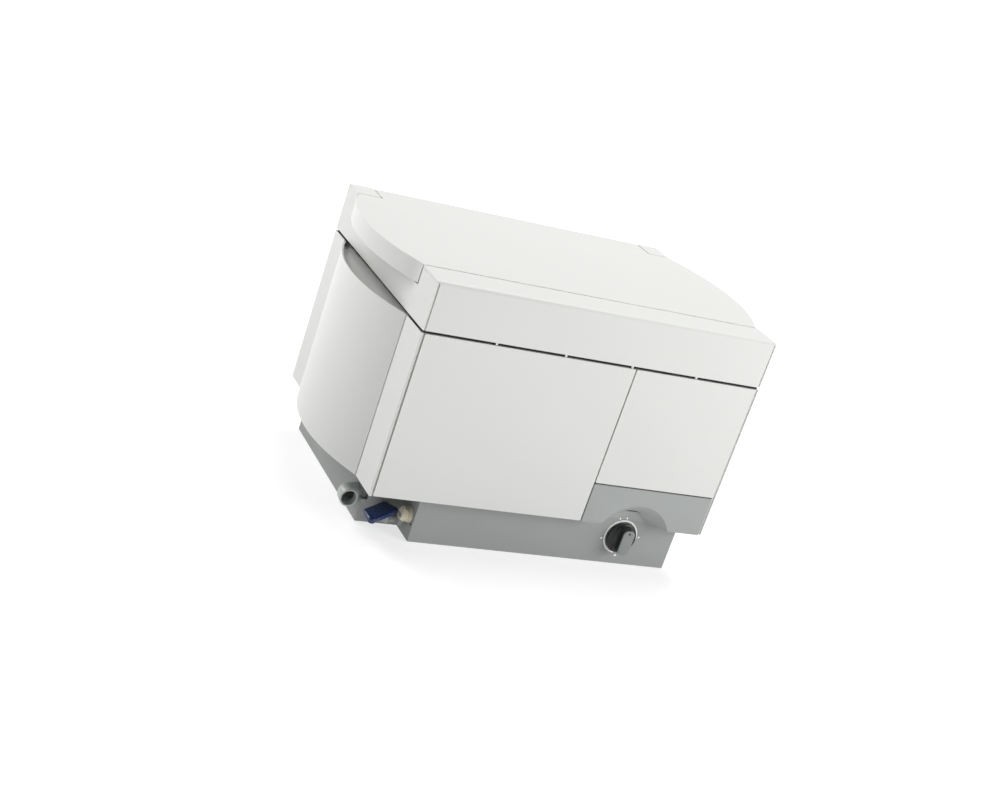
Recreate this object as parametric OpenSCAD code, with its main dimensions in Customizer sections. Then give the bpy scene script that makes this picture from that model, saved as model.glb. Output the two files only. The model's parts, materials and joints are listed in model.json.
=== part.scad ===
// Bench-top spectrophotometer with a lift-up lid, a drop-down front door and a wavelength dial.
// Origin: centre of the footprint on the bench. +X right, -Y front, +Z up. Millimetres.

/* [Overall] */
// Width across the flat sides of the body
body_w = 400; // [392:1:410]
// Depth from the front panels to the rear panel
body_d = 287; // [287:1:300]
// Height from the bench to the top of the lid
overall_h = 289; // [287:1:295]
// Height of the recessed base
base_h = 56; // [55:1:58]
// How far the base is set back under the body
base_inset = 18; // [17:1:19]
// How far the curved sides stand out past the flat sides
bulge = 25; // [22:1:28]

/* [Panels] */
// Thickness of the outer panels
skin = 2; // [1.6:0.2:2.4]
// Thickness of the side strips beside the front seams
strip_t = 1.5; // [1.2:0.1:1.8]
// Gap between neighbouring panels
seam = 1.6; // [1.2:0.2:2]
// Depth of the panels' folded edges
fold = 12; // [10:1:12]
// Height of the dark slot between lower and upper body
slot_h = 3; // [2.5:0.5:3.5]
// Height of the upper body with the lid
upper_h = 51.5; // [50:0.5:53]
// Thickness of the lid
lid_h = 20; // [19:0.5:21]

/* [Front] */
// Where the front is divided between door and right panel, from the centre
division_x = 45; // [40:1:50]
// Height of the control fascia
fascia_h = 46; // [44:1:48]
// Depth of the side strips at the front corners
strip_d = 45; // [43:1:46]

/* [Dial] */
// Sideways place of the dial, from the centre
dial_x = 113; // [110:1:118]
// Height of the dial's axis
dial_z = 34.2; // [33:0.2:36]
// Radius of the dial's black skirt
dial_r = 17.7; // [17:0.1:19]
// Rim radius of the scoop in the fascia
scoop_r = 48; // [45:1:49]

/* [Gears] */
// Tooth size: pitch diameter over number of teeth
module_mm = 1; // [1]
// Teeth on the dial's pinion
pinion_teeth = 14; // [14]
// Teeth that the sector would have as a whole wheel
sector_teeth = 98; // [98]

/* [Hidden] */
$fn = 96;

half_w = body_w / 2;
front = -body_d / 2;
rear = body_d / 2;
upper_low = overall_h - upper_h;
lower_top = upper_low - slot_h;
lid_low = overall_h - lid_h;
base_x = half_w - base_inset;
base_front = front + base_inset + 1;
base_rear = rear - base_inset;
base_low = 1;
wall = 3;
strip_x = half_w - strip_t;      // inner face of the side strips
door_left = -half_w + 4;
panel_right = half_w - 4;
door_right = division_x - seam / 2;
panel_left = division_x + seam / 2;
fascia_top = base_h + fascia_h - seam / 2;

// The curved sides are arcs on chords of the flat sides
curve_y = front + 150;
curve_half = 103;
curve_r = (curve_half * curve_half + bulge * bulge) / (2 * bulge);
curve_front = curve_y - curve_half;
curve_rear = curve_y + curve_half;

// Lid and hinge
lid_front = front + 44.5;
lid_gap_rear = 2;
tongue_x = 171.2;
cheek_x = 172.8;
cheek_y = curve_rear + lid_gap_rear;
hinge_y = rear - 10;
hinge_z = overall_h - lid_h / 2;
pin_r = 3;
running = 0.05;

// Niche in the front left corner of the base
niche_x = -134;
niche_y = front + 53;

// Optics
beam_y = front + 152;
beam_z = 205;
turret_z = dial_z + module_mm * (pinion_teeth + sector_teeth) / 2;
pinion_y = front + 50;
gear_w = 6;
well_x = 110;
well_front = front + 76;
well_rear = front + 228;
well_low = 170;
deck_z = 262;
deck_t = 2.5;

// Door hinge
door_axis_y = front + 6;
door_axis_z = base_h + 5;
lug_w = 5;
lug_places = [door_left + 4, door_right - 4 - lug_w];

// ---------- helpers ----------

// Box from one corner to the opposite corner
module block(a, b) {
    translate(a)
        cube(b - a);
}

// Rectangle from one corner to the opposite corner
module rect(a, b) {
    translate(a)
        square(b - a);
}

// Rectangle with round corners
module round_rect(a, b, r) {
    rect([a[0] + r, a[1]], [b[0] - r, b[1]]);
    rect([a[0], a[1] + r], [b[0], b[1] - r]);
    for (x = [a[0] + r, b[0] - r], y = [a[1] + r, b[1] - r])
        translate([x, y])
            circle(r);
}

// Extrudes a plan shape between two heights
module between_z(z0, z1) {
    translate([0, 0, z0])
        linear_extrude(z1 - z0)
            children();
}

// Extrudes an (x, z) shape between two depths
module between_y(y0, y1) {
    translate([0, y1, 0])
        rotate([90, 0, 0])
            linear_extrude(y1 - y0)
                children();
}

// Extrudes a (y, z) shape between two widths
module between_x(x0, x1) {
    translate([x0, 0, 0])
        rotate([90, 0, 90])
            linear_extrude(x1 - x0)
                children();
}

// Cylinder along Y from y0 to y1
module rod_y(x, z, r, y0, y1) {
    translate([x, y1, z])
        rotate([90, 0, 0])
            cylinder(r = r, h = y1 - y0);
}

// Cylinder along X from x0 to x1
module rod_x(y, z, r, x0, x1) {
    translate([x0, y, z])
        rotate([0, 90, 0])
            cylinder(r = r, h = x1 - x0);
}

// Cylinder along Z from z0 to z1
module rod_z(x, y, r, z0, z1) {
    translate([x, y, z0])
        cylinder(r = r, h = z1 - z0);
}

// Draws a left-hand part, or the same part mirrored to the right
module on_side(left) {
    if (left)
        children();
    else
        mirror([1, 0, 0])
            children();
}

// Plan of the curved side, shrunk by inset, beyond the flat side
module curve_plan(inset, x_limit) {
    intersection() {
        translate([-half_w - bulge + curve_r, curve_y])
            circle(curve_r - inset, $fn = 256);
        rect([-half_w - bulge - 1, curve_front + inset], [x_limit, curve_rear - inset]);
    }
}

// Plan of the base at a wall offset, with the niche cut out
module base_plan(inset) {
    difference() {
        round_rect([-base_x + inset, base_front + inset], [base_x - inset, base_rear - inset],
            max(2.5 - inset, 0.5));
        rect([-base_x - 1, base_front - 1], [niche_x + inset, niche_y + inset]);
    }
}

// Gear outline: trapezoid teeth from tooth number first to last, closed by a hub arc or the axis
function ring_point(r, a) = [r * cos(a), r * sin(a)];
function tooth(i, teeth, root, tip, root_share, tip_share) =
    let (pitch = 360 / teeth, mid = i * pitch)
    [ring_point(root, mid - pitch * root_share / 2), ring_point(tip, mid - pitch * tip_share / 2),
     ring_point(tip, mid + pitch * tip_share / 2), ring_point(root, mid + pitch * root_share / 2)];
function teeth_outline(first, last, teeth, root, tip, root_share, tip_share) =
    [for (i = [first:last], p = tooth(i, teeth, root, tip, root_share, tip_share)) p];

// ---------- base ----------

foot_places = [for (x = [-162, 162], y = [niche_y + 20, base_rear - 18]) [x, y]];
foot_r = 10;
plug_r = 2.4;

module base_tub() {
    color("#8b908c")
        difference() {
            between_z(base_low, base_h)
                base_plan(0);
            between_z(base_low + wall, base_h + 1)
                base_plan(wall);
            for (p = foot_places)
                rod_z(p[0], p[1], plug_r + 0.1, base_low - 1, base_low + wall + 1);
            rod_y(dial_x, dial_z, 6, base_front - 1, base_front + wall + 1);
            rod_x(elbow_y, elbow_z, elbow_r + 0.1, -base_x - 1, -base_x + wall + 1);
            block([-base_x - 1, niche_y - 1, elbow_z], [-base_x + 7, niche_y + 8.5, elbow_z + 15]);
            block([niche_x - 1, tap_y - 10, 17.5], [niche_x + wall + 1, tap_y - 6, 19.7]);
            rod_x(tap_y, tap_z, 6, niche_x - 1, niche_x + wall + 1);
            for (i = [0:7])
                block([-60 + 14 * i, 20, base_low - 1], [-56 + 14 * i, 90, base_low + wall + 1]);
        }
}

module feet() {
    color("#2b2b2b")
        for (p = foot_places) {
            rod_z(p[0], p[1], foot_r, 0, base_low);
            rod_z(p[0], p[1], plug_r, base_low, base_low + wall + 0.2);
            rod_z(p[0], p[1], 3.4, base_low + wall + 0.2, base_low + wall + 2.2);
        }
}

// Dial on the recessed front of the base
bush_flange_y = base_front - 0.8;
print_r = 19.6;
print_w = 1.4;
print_t = 0.4;
print_start = -19;
print_sweep = 284;

module dial_knob() {
    color("#141414")
        difference() {
            union() {
                rod_y(dial_x, dial_z, dial_r, base_front - 5, base_front - 1);
                rod_y(dial_x, dial_z, dial_r - 2, base_front - 7, base_front - 5);
                between_y(base_front - 14.5, base_front - 7)
                    round_rect([dial_x - 7.5, dial_z - 15.6], [dial_x + 7.5, dial_z + 15.6], 6);
            }
            rod_y(dial_x, dial_z, 3, base_front - 11, base_front);
        }
}

module dial_cap() {
    color("#7c8280")
        difference() {
            between_y(base_front - 16, base_front - 14.5)
                round_rect([dial_x - 7, dial_z - 15], [dial_x + 7, dial_z + 15], 5.5);
            rod_y(dial_x, dial_z + 11.5, 1.4, base_front - 17, base_front - 15.3);
        }
}

// Printed scale: an open ring with marks outside it
module dial_print() {
    color("#f2f2ee")
        between_y(base_front - print_t, base_front)
            translate([dial_x, dial_z]) {
                difference() {
                    circle(print_r + print_w / 2);
                    circle(print_r - print_w / 2);
                    polygon([[0, 0], ring_point(40, print_start), ring_point(40, print_start - 38),
                        ring_point(40, print_start + print_sweep - 360)]);
                }
                for (a = [4, 90, 111, 190])
                    rotate(a)
                        translate([print_r + 3.6, 0])
                            square([2, 1.4], center = true);
                rotate(-85)
                    translate([print_r + 1.8, 0])
                        polygon([[0, 0], [2.6, 1.8], [2.6, -1.8]]);
            }
}

module dial_bush() {
    color("#c9a24a")
        difference() {
            union() {
                rod_y(dial_x, dial_z, 9, bush_flange_y, base_front - print_t - 0.001);
                rod_y(dial_x, dial_z, 5.9, base_front - 0.5, base_front + 8);
            }
            rod_y(dial_x, dial_z, pin_r + running, base_front - 2, base_front + 9);
        }
}

module dial_shaft() {
    color("#b9bcbf")
        rod_y(dial_x, dial_z, pin_r, base_front - 11, pinion_y + gear_w + 4);
}

module dial_pinion() {
    color("#b5913e")
        between_y(pinion_y, pinion_y + gear_w)
            translate([dial_x, dial_z])
                difference() {
                    polygon(teeth_outline(0, pinion_teeth - 1, pinion_teeth, module_mm * 5.7,
                        module_mm * 7.9, 0.62, 0.22));
                    circle(pin_r);
                }
}

// Drain elbow at the left of the base, its mouth facing the front
elbow_r = 9.3;
elbow_bore = 7.9;
elbow_x = -196;
elbow_z = 26.4;
elbow_bend = 10;
elbow_leg = 8;
elbow_mouth = niche_y - 1;
elbow_y = elbow_mouth + elbow_leg + elbow_bend;

// Elbow of one radius: stub through the wall, quarter bend, and leg to the front
module elbow_run(r, extra) {
    rod_x(elbow_y, elbow_z, r, elbow_x + elbow_bend, -base_x + 12 + extra);
    translate([elbow_x + elbow_bend, elbow_y - elbow_bend, elbow_z])
        rotate([0, 0, 90])
            rotate_extrude(angle = 90)
                translate([elbow_bend, 0])
                    circle(r);
    rod_y(elbow_x, elbow_z, r, elbow_mouth - extra, elbow_y - elbow_bend);
}

module drain_elbow() {
    color("#a5aaa6")
        difference() {
            union() {
                elbow_run(elbow_r, 0);
                rod_y(elbow_x, elbow_z, elbow_r + 0.5, elbow_mouth, elbow_mouth + 4);
            }
            elbow_run(elbow_bore, 1);
        }
}

module drain_nut() {
    color("#9aa09c")
        difference() {
            translate([-base_x + wall, elbow_y, elbow_z])
                rotate([0, 90, 0])
                    cylinder(r = 12, h = 5, $fn = 6);
            rod_x(elbow_y, elbow_z, elbow_r + running, -base_x, -base_x + 12);
        }
}

// Sample tap in the niche
tube_r = 3;
tap_y = front + 32;
tap_z = 26;
tap_end = niche_x - 11;
pivot_x = -156.5;
pivot_y = front + 40.5;
neck_z = 15.5;
neck_top = 21.7;

module tap_body() {
    color("#d9d0b8")
        difference() {
            union() {
                rod_x(tap_y, tap_z, 6, niche_x, niche_x + 12);
                rod_x(tap_y, tap_z, 8.6, niche_x - 2, niche_x);
                for (i = [0:2])
                    rod_x(tap_y, tap_z, 8.2, niche_x - 4.4 - 2.4 * i, niche_x - 3.2 - 2.4 * i);
                rod_x(tap_y, tap_z, 7, tap_end, niche_x - 2);
                block([tap_end, tap_y - 3, neck_z - 3], [tap_end + 5, pivot_y, tap_z]);
                rod_x(pivot_y, neck_z, 4, pivot_x, tap_end + 5);
                rod_z(pivot_x, pivot_y, 5.5, neck_z - 4.5, neck_top);
            }
            rod_x(tap_y, tap_z, tube_r, niche_x + 8, niche_x + 13);
            rod_z(pivot_x, pivot_y, pin_r + running, neck_z - 2, neck_top + 1);
        }
}

// Paddle lever, turned towards the front left
lever_turn = 38;
lever_low = neck_top + 0.3;
lever_top = lever_low + 6;
lever_corners = [[-4, -6], [30.1, -6], [39.4, 6], [-4, 6]];
lever_corner_r = 4;
lever_edges = [[-4, -10], [30.1, -10], [33.26, -8.45], [42.56, 3.55], [39.4, 10], [-4, 10], [-8, 6], [-8, -6]];

module tap_lever() {
    color("#10265e")
        translate([pivot_x, pivot_y, 0]) {
            rod_z(0, 0, pin_r, neck_z - 1, lever_low);
            between_z(lever_low, lever_top)
                rotate(180 + lever_turn)
                    union() {
                        polygon(lever_edges);
                        for (c = lever_corners)
                            translate(c)
                                circle(lever_corner_r);
                    }
        }
}

// ---------- lower body ----------

frame_y = front + fold + 1 + strip_t;
flange_low = base_h + 12;

module chassis_plate() {
    color("#b4b8ba")
        difference() {
            block([-strip_x + 0.2, front + 15, base_h], [strip_x - 0.2, rear - 2, base_h + 2]);
            block([panel_left - 0.5, front + 14, base_h - 1], [half_w, front + fascia_depth + 2.3, base_h + 3]);
            block([dial_x - 42, pinion_y - 2, base_h - 1], [dial_x + 42, pinion_y + gear_w + 2, base_h + 3]);
            for (x = [-116, -60])
                rod_z(x, beam_y - 30, 7, base_h - 1, base_h + 3);
            for (i = [0:5])
                block([-30 + 12 * i, 40, base_h - 1], [-26 + 12 * i, 110, base_h + 3]);
        }
}

module front_post(left) {
    color("#d8dad6")
        on_side(left)
            union() {
                between_z(base_h, lower_top)
                    rect([-half_w, front + 0.4], [-strip_x, front + strip_d]);
                between_z(base_h, lower_top)
                    rect([-strip_x, front + 1.5], [-panel_right - 0.4, front + 4]);
                between_z(flange_low, lower_top)
                    rect([-strip_x, front + fold + 1], [-178, frame_y]);
                between_z(base_h + 2, lower_top)
                    rect([-strip_x, front + strip_d - strip_t], [-180, front + strip_d]);
            }
}

module left_front_post() {
    front_post(true);
}

module right_front_post() {
    front_post(false);
}

ledge_drop = 3.5;

module side_cover(left) {
    color("#d4d6d3")
        on_side(left)
            union() {
                between_z(base_h, lower_top)
                    difference() {
                        curve_plan(0, -half_w + 4);
                        curve_plan(skin, -half_w + 20);
                        rect([-strip_x, curve_front], [-half_w + 20, curve_rear]);
                    }
                between_z(lower_top - ledge_drop - skin, lower_top - ledge_drop)
                    union() {
                        curve_plan(skin, -182);
                        rect([-half_w + 1, curve_rear - 12], [-182, curve_rear]);
                    }
                between_z(base_h, base_h + 2)
                    curve_plan(skin, -strip_x);
                between_z(base_h + 2, lower_top - ledge_drop - skin)
                    for (y = [curve_front + skin, curve_rear - skin - strip_t])
                        rect([-half_w - 0.5, y], [-184, y + strip_t]);
            }
}

module left_side_cover() {
    side_cover(true);
}

module right_side_cover() {
    side_cover(false);
}

rear_strip_front = curve_rear + 1.6;
rear_post_x = 170;
screw_x = 164;
screw_r = 1.5;
screw_levels = [72, 145, 218];

module rear_post(left) {
    color("#dcdeda")
        on_side(left)
            union() {
                between_z(base_h, lower_top)
                    union() {
                        rect([-half_w, rear_strip_front], [-strip_x, rear]);
                        rect([-strip_x, rear - skin], [-rear_post_x, rear]);
                    }
                between_z(lower_top - ledge_drop - skin, lower_top - ledge_drop)
                    rect([-half_w + 0.4, curve_rear + 0.2], [-182, rear_strip_front + 4]);
                difference() {
                    between_z(base_h + 2, lower_top)
                        rect([-rear_post_x - 8, rear - 2 * skin], [-rear_post_x + 10, rear - skin]);
                    for (z = screw_levels)
                        rod_y(-screw_x, z, screw_r, rear - 2 * skin - 1, rear);
                }
            }
}

module left_rear_post() {
    rear_post(true);
}

module right_rear_post() {
    rear_post(false);
}

fan_x = -95;
fan_z = 150;
fan_r = 36;
inlet_x = 118;
inlet_z = 88;
rocker_x = 78;
screw_places = [for (x = [-screw_x, screw_x], z = screw_levels) [x, z]];

// Countersunk head whose flat side is flush with the rear face
module screw_head(x, z) {
    translate([x, rear, z])
        rotate([90, 0, 0])
            cylinder(r1 = 3, r2 = screw_r, h = 1.5);
}

module rear_panel() {
    color("#c9ccc8")
        difference() {
            block([-rear_post_x + 0.6, rear - skin, base_h + 2], [rear_post_x - 0.6, rear, lower_top]);
            for (i = [-4:4])
                let (half = sqrt(fan_r * fan_r - 64 * i * i) - 2)
                block([fan_x - half, rear - 3, fan_z + 8 * i - 2], [fan_x + half, rear + 1, fan_z + 8 * i + 2]);
            for (i = [0:8])
                block([20 + 14 * i, rear - 3, 150], [24 + 14 * i, rear + 1, 205]);
            block([inlet_x - 14, rear - 3, inlet_z - 10.5], [inlet_x + 14, rear + 1, inlet_z + 10.5]);
            block([rocker_x - 7, rear - 3, inlet_z - 11], [rocker_x + 7, rear + 1, inlet_z + 11]);
            for (p = screw_places) {
                rod_y(p[0], p[1], screw_r, rear - 3, rear + 1);
                screw_head(p[0], p[1]);
            }
        }
}

module panel_screws() {
    color("#9a9ea2")
        for (p = screw_places)
            difference() {
                union() {
                    rod_y(p[0], p[1], screw_r, rear - 7, rear - 1);
                    screw_head(p[0], p[1]);
                }
                for (a = [[1.8, 0.35], [0.35, 1.8]])
                    block([p[0] - a[0], rear - 0.9, p[1] - a[1]], [p[0] + a[0], rear + 1, p[1] + a[1]]);
            }
}

bay_left = -160;
bay_right = 30;
bay_low = 82;
bay_top = 220;

module front_frame() {
    color("#2f3234")
        difference() {
            block([-190, frame_y, base_h + 2], [190, frame_y + skin, lower_top]);
            block([bay_left, frame_y - 1, bay_low], [bay_right, frame_y + skin + 1, bay_top]);
            block([panel_left - 3, frame_y - 1, base_h], [191, front + 19.5, flange_low]);
            for (x = lug_places)
                block([x - 0.5, frame_y - 1, base_h], [x + lug_w + 0.5, frame_y + skin + 1, base_h + 8.5]);
        }
}

// Flat panel on the front with folded edges
module front_pan(x0, x1, z0, z1, bottom_fold) {
    between_y(front, front + skin)
        round_rect([x0, z0], [x1, z1], 1.2);
    between_y(front + skin, front + fold)
        difference() {
            rect([x0, z0], [x1, z1]);
            rect([x0 + skin, bottom_fold ? z0 + skin : z0 - 1], [x1 - skin, z1 - skin]);
        }
}

module left_door() {
    color("#d2d5d1")
        difference() {
            front_pan(door_left, door_right, base_h + 1, lower_top, false);
            rod_x(door_axis_y, door_axis_z, 2, door_left - 1, door_right + 1);
        }
}

module door_pins() {
    color("#b9bcbf")
        union() {
            rod_x(door_axis_y, door_axis_z, 2, door_left, door_left + 10);
            rod_x(door_axis_y, door_axis_z, 2, door_right - 10, door_right);
        }
}

module door_lugs() {
    color("#8f9496")
        for (x = lug_places)
            difference() {
                union() {
                    block([x, door_axis_y, base_h + 2], [x + lug_w, front + 24, base_h + 8]);
                    rod_x(door_axis_y, door_axis_z, 3, x, x + lug_w);
                }
                rod_x(door_axis_y, door_axis_z, 2 + running, x - 1, x + lug_w + 1);
            }
}

module right_panel() {
    color("#d0d3cf")
        front_pan(panel_left, panel_right, fascia_top + seam, lower_top, true);
}

fascia_depth = base_inset + 1;
scoop_back_r = 31;

module control_fascia() {
    color("#a3aaa6")
        difference() {
            union() {
                between_y(front, front + 2.5)
                    round_rect([panel_left, base_h], [panel_right, fascia_top], 1.2);
                between_y(front + 2.5, front + fold)
                    difference() {
                        rect([panel_left, base_h], [panel_right, fascia_top]);
                        rect([panel_left + 2.5, base_h + 2.5], [panel_right - 2.5, fascia_top - 2.5]);
                    }
                block([dial_x - 50, front + 2.5, base_h], [dial_x + 50, front + fascia_depth - 4.8, base_h + 32]);
                block([dial_x - 50, front + fascia_depth - 4.8, base_h], [dial_x + 50, front + fascia_depth,
                    base_h + 11.5]);
            }
            translate([dial_x, front + fascia_depth + 0.01, dial_z])
                rotate([90, 0, 0])
                    cylinder(r1 = scoop_back_r, r2 = scoop_r, h = fascia_depth + 0.02);
        }
    color("#a3aaa6")
        block([dial_x - 50, front + fascia_depth, base_h], [dial_x + 50, front + fascia_depth + 2,
            base_h + 11.5]);
}

spacer_pitch = 79;

module slot_spacers() {
    color("#d6d8d5")
        for (i = [-1.5:1:1.5])
            block([i * spacer_pitch - 1.3, front + 0.6, lower_top + 0.1],
                [i * spacer_pitch + 1.3, front + trim_in, upper_low]);
}

// Dark packing strip that fills the slot a little way in
trim_in = 2;
trim_w = 6;

module slot_trim() {
    color("#161616")
        between_z(lower_top + 0.4, upper_low)
            difference() {
                rect([-half_w + trim_in, front + trim_in], [half_w - trim_in, rear - trim_in]);
                rect([-half_w + trim_in + trim_w, front + trim_in + trim_w],
                    [half_w - trim_in - trim_w, rear - trim_in - trim_w]);
            }
}

module corner_pillars() {
    color("#8f9496")
        for (x = [-174, 174], y = [front + 34, rear - 22])
            rod_z(x, y, 5, base_h + 2, upper_low);
}

// ---------- upper body ----------

frame_edge = 14;

module upper_frame() {
    color("#dadcd9")
        difference() {
            union() {
                for (s = [-1, 1])
                    between_x(s * half_w - (s > 0 ? strip_t : 0), s * half_w + (s < 0 ? strip_t : 0))
                        polygon([[front + 0.4, upper_low], [rear, upper_low], [rear, overall_h],
                            [cheek_y + 1, overall_h], [cheek_y, overall_h - 1], [cheek_y, lid_low - 1],
                            [front + 42, lid_low - 1], [front + 42, overall_h - 2.7],
                            [front + 0.4, overall_h - 2.7]]);
                block([-strip_x, rear - skin, upper_low], [strip_x, rear, deck_z + 1]);
                between_z(upper_low, upper_low + 2)
                    difference() {
                        rect([-strip_x, front + fold + 3], [strip_x, rear - skin]);
                        rect([-strip_x + frame_edge * 2, front + 56], [strip_x - frame_edge * 2, rear - 38]);
                    }
                for (s = [-1, 1])
                    mirror([s > 0 ? 1 : 0, 0, 0])
                        difference() {
                            between_x(-strip_x, -cheek_x)
                                polygon([[cheek_y, deck_z + deck_t], [rear, deck_z + deck_t], [rear, overall_h],
                                    [cheek_y + 1, overall_h], [cheek_y, overall_h - 1]]);
                            block([-strip_x - 1, cheek_y + skin, deck_z + deck_t - 1],
                                [-cheek_x - 8, rear - skin, overall_h - 2.5]);
                        }
            }
            rod_x(hinge_y, hinge_z, pin_r, -190, 190);
            for (x = [-174, 174], y = [front + 34, rear - 22])
                rod_z(x, y, 1.6, upper_low - 1, upper_low + 3);
        }
}

rail_edge_r = 4;

module upper_front_cover() {
    color("#dddfdc")
        union() {
            between_x(-panel_right - 1.2, panel_right + 1.2)
                difference() {
                    union() {
                        rect([front, upper_low], [front + 2.5, overall_h - rail_edge_r]);
                        rect([front, upper_low], [front + fold, upper_low + 2]);
                        translate([front + rail_edge_r, overall_h - rail_edge_r])
                            circle(rail_edge_r);
                    }
                    rect([front + 2.5, upper_low + 2], [front + 20, overall_h - 2.5]);
                }
            between_x(-half_w, half_w)
                difference() {
                    union() {
                        rect([front + rail_edge_r, overall_h - 2.5], [front + 42, overall_h]);
                        translate([front + rail_edge_r, overall_h - rail_edge_r])
                            circle(rail_edge_r);
                    }
                    rect([front - 1, overall_h - 20], [front + 41, overall_h - 2.5]);
                }
            for (s = [-1, 1])
                between_x(s * (panel_right + 1.7) - 0.55, s * (panel_right + 1.7) + 0.55)
                    rect([front + 1.5, upper_low], [front + 4, overall_h - 2.5]);
            between_x(-strip_x + 0.2, strip_x - 0.2)
                rect([front + 40, deck_z + deck_t], [front + 42, overall_h - 2.5]);
        }
}

// Rubber strip along the back of the front rail, where the lid comes down
module front_bumper() {
    color("#1c1c1c")
        block([-half_w + 0.6, front + 42, lid_low - 0.9], [half_w - 0.6, front + 43.8, overall_h - 4]);
}

module deck_plate() {
    color("#cfd2cf")
        difference() {
            block([-strip_x + 0.1, front + 22, deck_z], [strip_x - 0.1, rear - skin - 0.1, deck_z + deck_t]);
            block([-well_x - 0.2, well_front - 0.2, deck_z - 1], [well_x + 0.2, well_rear + 0.2, deck_z + deck_t + 1]);
        }
}

seal_x = 126;
seal_front = well_front - 14;
seal_rear = well_rear + 14;
seal_w = 4;
seal_top = lid_low - 0.9;

// Plan of a frame-shaped strip around the sample well
module strip_plan(grow, w) {
    difference() {
        round_rect([-seal_x - grow, seal_front - grow], [seal_x + grow, seal_rear + grow], 6 + grow);
        round_rect([-seal_x - grow + w, seal_front - grow + w], [seal_x + grow - w, seal_rear + grow - w],
            6 + grow - w);
    }
}

module lid_seal() {
    color("#1f1f1f")
        between_z(deck_z + deck_t, seal_top)
            strip_plan(0, seal_w);
}

// Plan of the wide part of the lid, shrunk by inset
module lid_plan(inset) {
    rect([-half_w + inset, lid_front + inset], [half_w - inset, curve_rear - inset]);
    curve_plan(inset, 0);
    mirror([1, 0])
        curve_plan(inset, 0);
}

module lid() {
    color("#e5e6e4")
        difference() {
            union() {
                difference() {
                    between_z(lid_low, overall_h)
                        lid_plan(0);
                    between_z(lid_low - 1, overall_h - wall)
                        lid_plan(wall);
                }
                between_x(-tongue_x, tongue_x)
                    union() {
                        rect([curve_rear - wall, lid_low], [rear - 6, overall_h]);
                        rect([curve_rear, lid_low + 6], [rear, overall_h - 2.5]);
                        translate([rear - 6, lid_low + 6])
                            circle(6);
                        translate([rear - 2.5, overall_h - 2.5])
                            circle(2.5);
                        rect([rear - 6, overall_h - 2.5], [rear - 2.5, overall_h]);
                    }
                between_z(lid_low + 0.2, overall_h - wall)
                    strip_plan(-0.5, seal_w - 1);
            }
            rod_x(hinge_y, hinge_z, pin_r + running, -tongue_x - 1, -tongue_x + 18);
            rod_x(hinge_y, hinge_z, pin_r + running, tongue_x - 18, tongue_x + 1);
        }
}

module hinge_pins() {
    color("#b9bcbf")
        union() {
            rod_x(hinge_y, hinge_z, pin_r, -cheek_x - 9, -tongue_x + 16);
            rod_x(hinge_y, hinge_z, pin_r, tongue_x - 16, cheek_x + 9);
        }
}

module sample_well() {
    color("#26282a")
        difference() {
            union() {
                block([-well_x - 8, well_front - 6, deck_z + deck_t], [well_x + 8, well_rear + 6, deck_z + deck_t + 1.5]);
                block([-well_x, well_front, well_low], [well_x, well_rear, deck_z + deck_t]);
            }
            block([-well_x + skin, well_front + skin, well_low + skin], [well_x - skin, well_rear - skin,
                deck_z + deck_t + 2]);
            rod_x(beam_y, beam_z, 8, -well_x - 1, well_x + 1);
            rod_x(beam_y - 30, 184, 4.2, -well_x - 1, -well_x + skin + 1);
            rod_z(-60, beam_y - 30, 4.2, well_low - 1, well_low + skin + 1);
        }
}

cell_half = 6.25;

module cell_block() {
    color("#7d8286")
        difference() {
            block([-30, beam_y - 22, well_low + skin], [30, beam_y + 22, beam_z + 18]);
            block([-cell_half - 0.1, beam_y - cell_half - 0.1, well_low + skin + 8],
                [cell_half + 0.1, beam_y + cell_half + 0.1, beam_z + 19]);
            rod_x(beam_y, beam_z, 5, -31, 31);
        }
}

module flow_cell() {
    color([0.8, 0.9, 0.95, 0.5])
        union() {
            block([-cell_half, beam_y - cell_half, well_low + skin + 8], [cell_half, beam_y + cell_half, beam_z + 24]);
            rod_z(-3, beam_y, 1.8, beam_z + 24, beam_z + 32);
            rod_z(3, beam_y, 1.8, beam_z + 24, beam_z + 32);
        }
}

// Tube along points, with ball joints at the bends
module tube_run(points) {
    for (i = [0:len(points) - 2])
        let (a = points[i], d = points[i + 1] - a, l = norm(d))
        translate(a) {
            rotate([0, acos(d[2] / l), atan2(d[1], d[0])])
                cylinder(r = tube_r, h = l, $fn = 32);
            if (i > 0)
                sphere(tube_r, $fn = 32);
        }
}

module sample_tubes() {
    color("#e8ece6")
        union() {
            tube_run([[niche_x + 8, tap_y, tap_z], [-116, tap_y, tap_z], [-116, beam_y - 30, tap_z],
                [-116, beam_y - 30, 184], [-100, beam_y - 30, 184]]);
            tube_run([[-60, beam_y - 30, 178], [-60, beam_y - 30, elbow_z], [-60, elbow_y, elbow_z],
                [-base_x + 12.2, elbow_y, elbow_z]]);
        }
}

// ---------- optics ----------

// Teeth on each side of the sector's middle tooth
sector_side = 9;

module sector_gear() {
    color("#b5913e")
        between_y(pinion_y, pinion_y + gear_w)
            translate([dial_x, turret_z])
                rotate(-90)
                    difference() {
                        union() {
                            polygon(concat([[0, 0]], teeth_outline(-sector_side, sector_side, sector_teeth,
                                module_mm * 47.7, module_mm * 49.9, 0.62, 0.22)));
                            circle(10);
                        }
                        circle(4);
                        for (a = [-16, 16])
                            rotate(a)
                                translate([30, 0])
                                    circle(5);
                    }
}

module grating_shaft() {
    color("#b9bcbf")
        rod_y(dial_x, turret_z, 4, pinion_y - 4, beam_y + 30);
}

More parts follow.
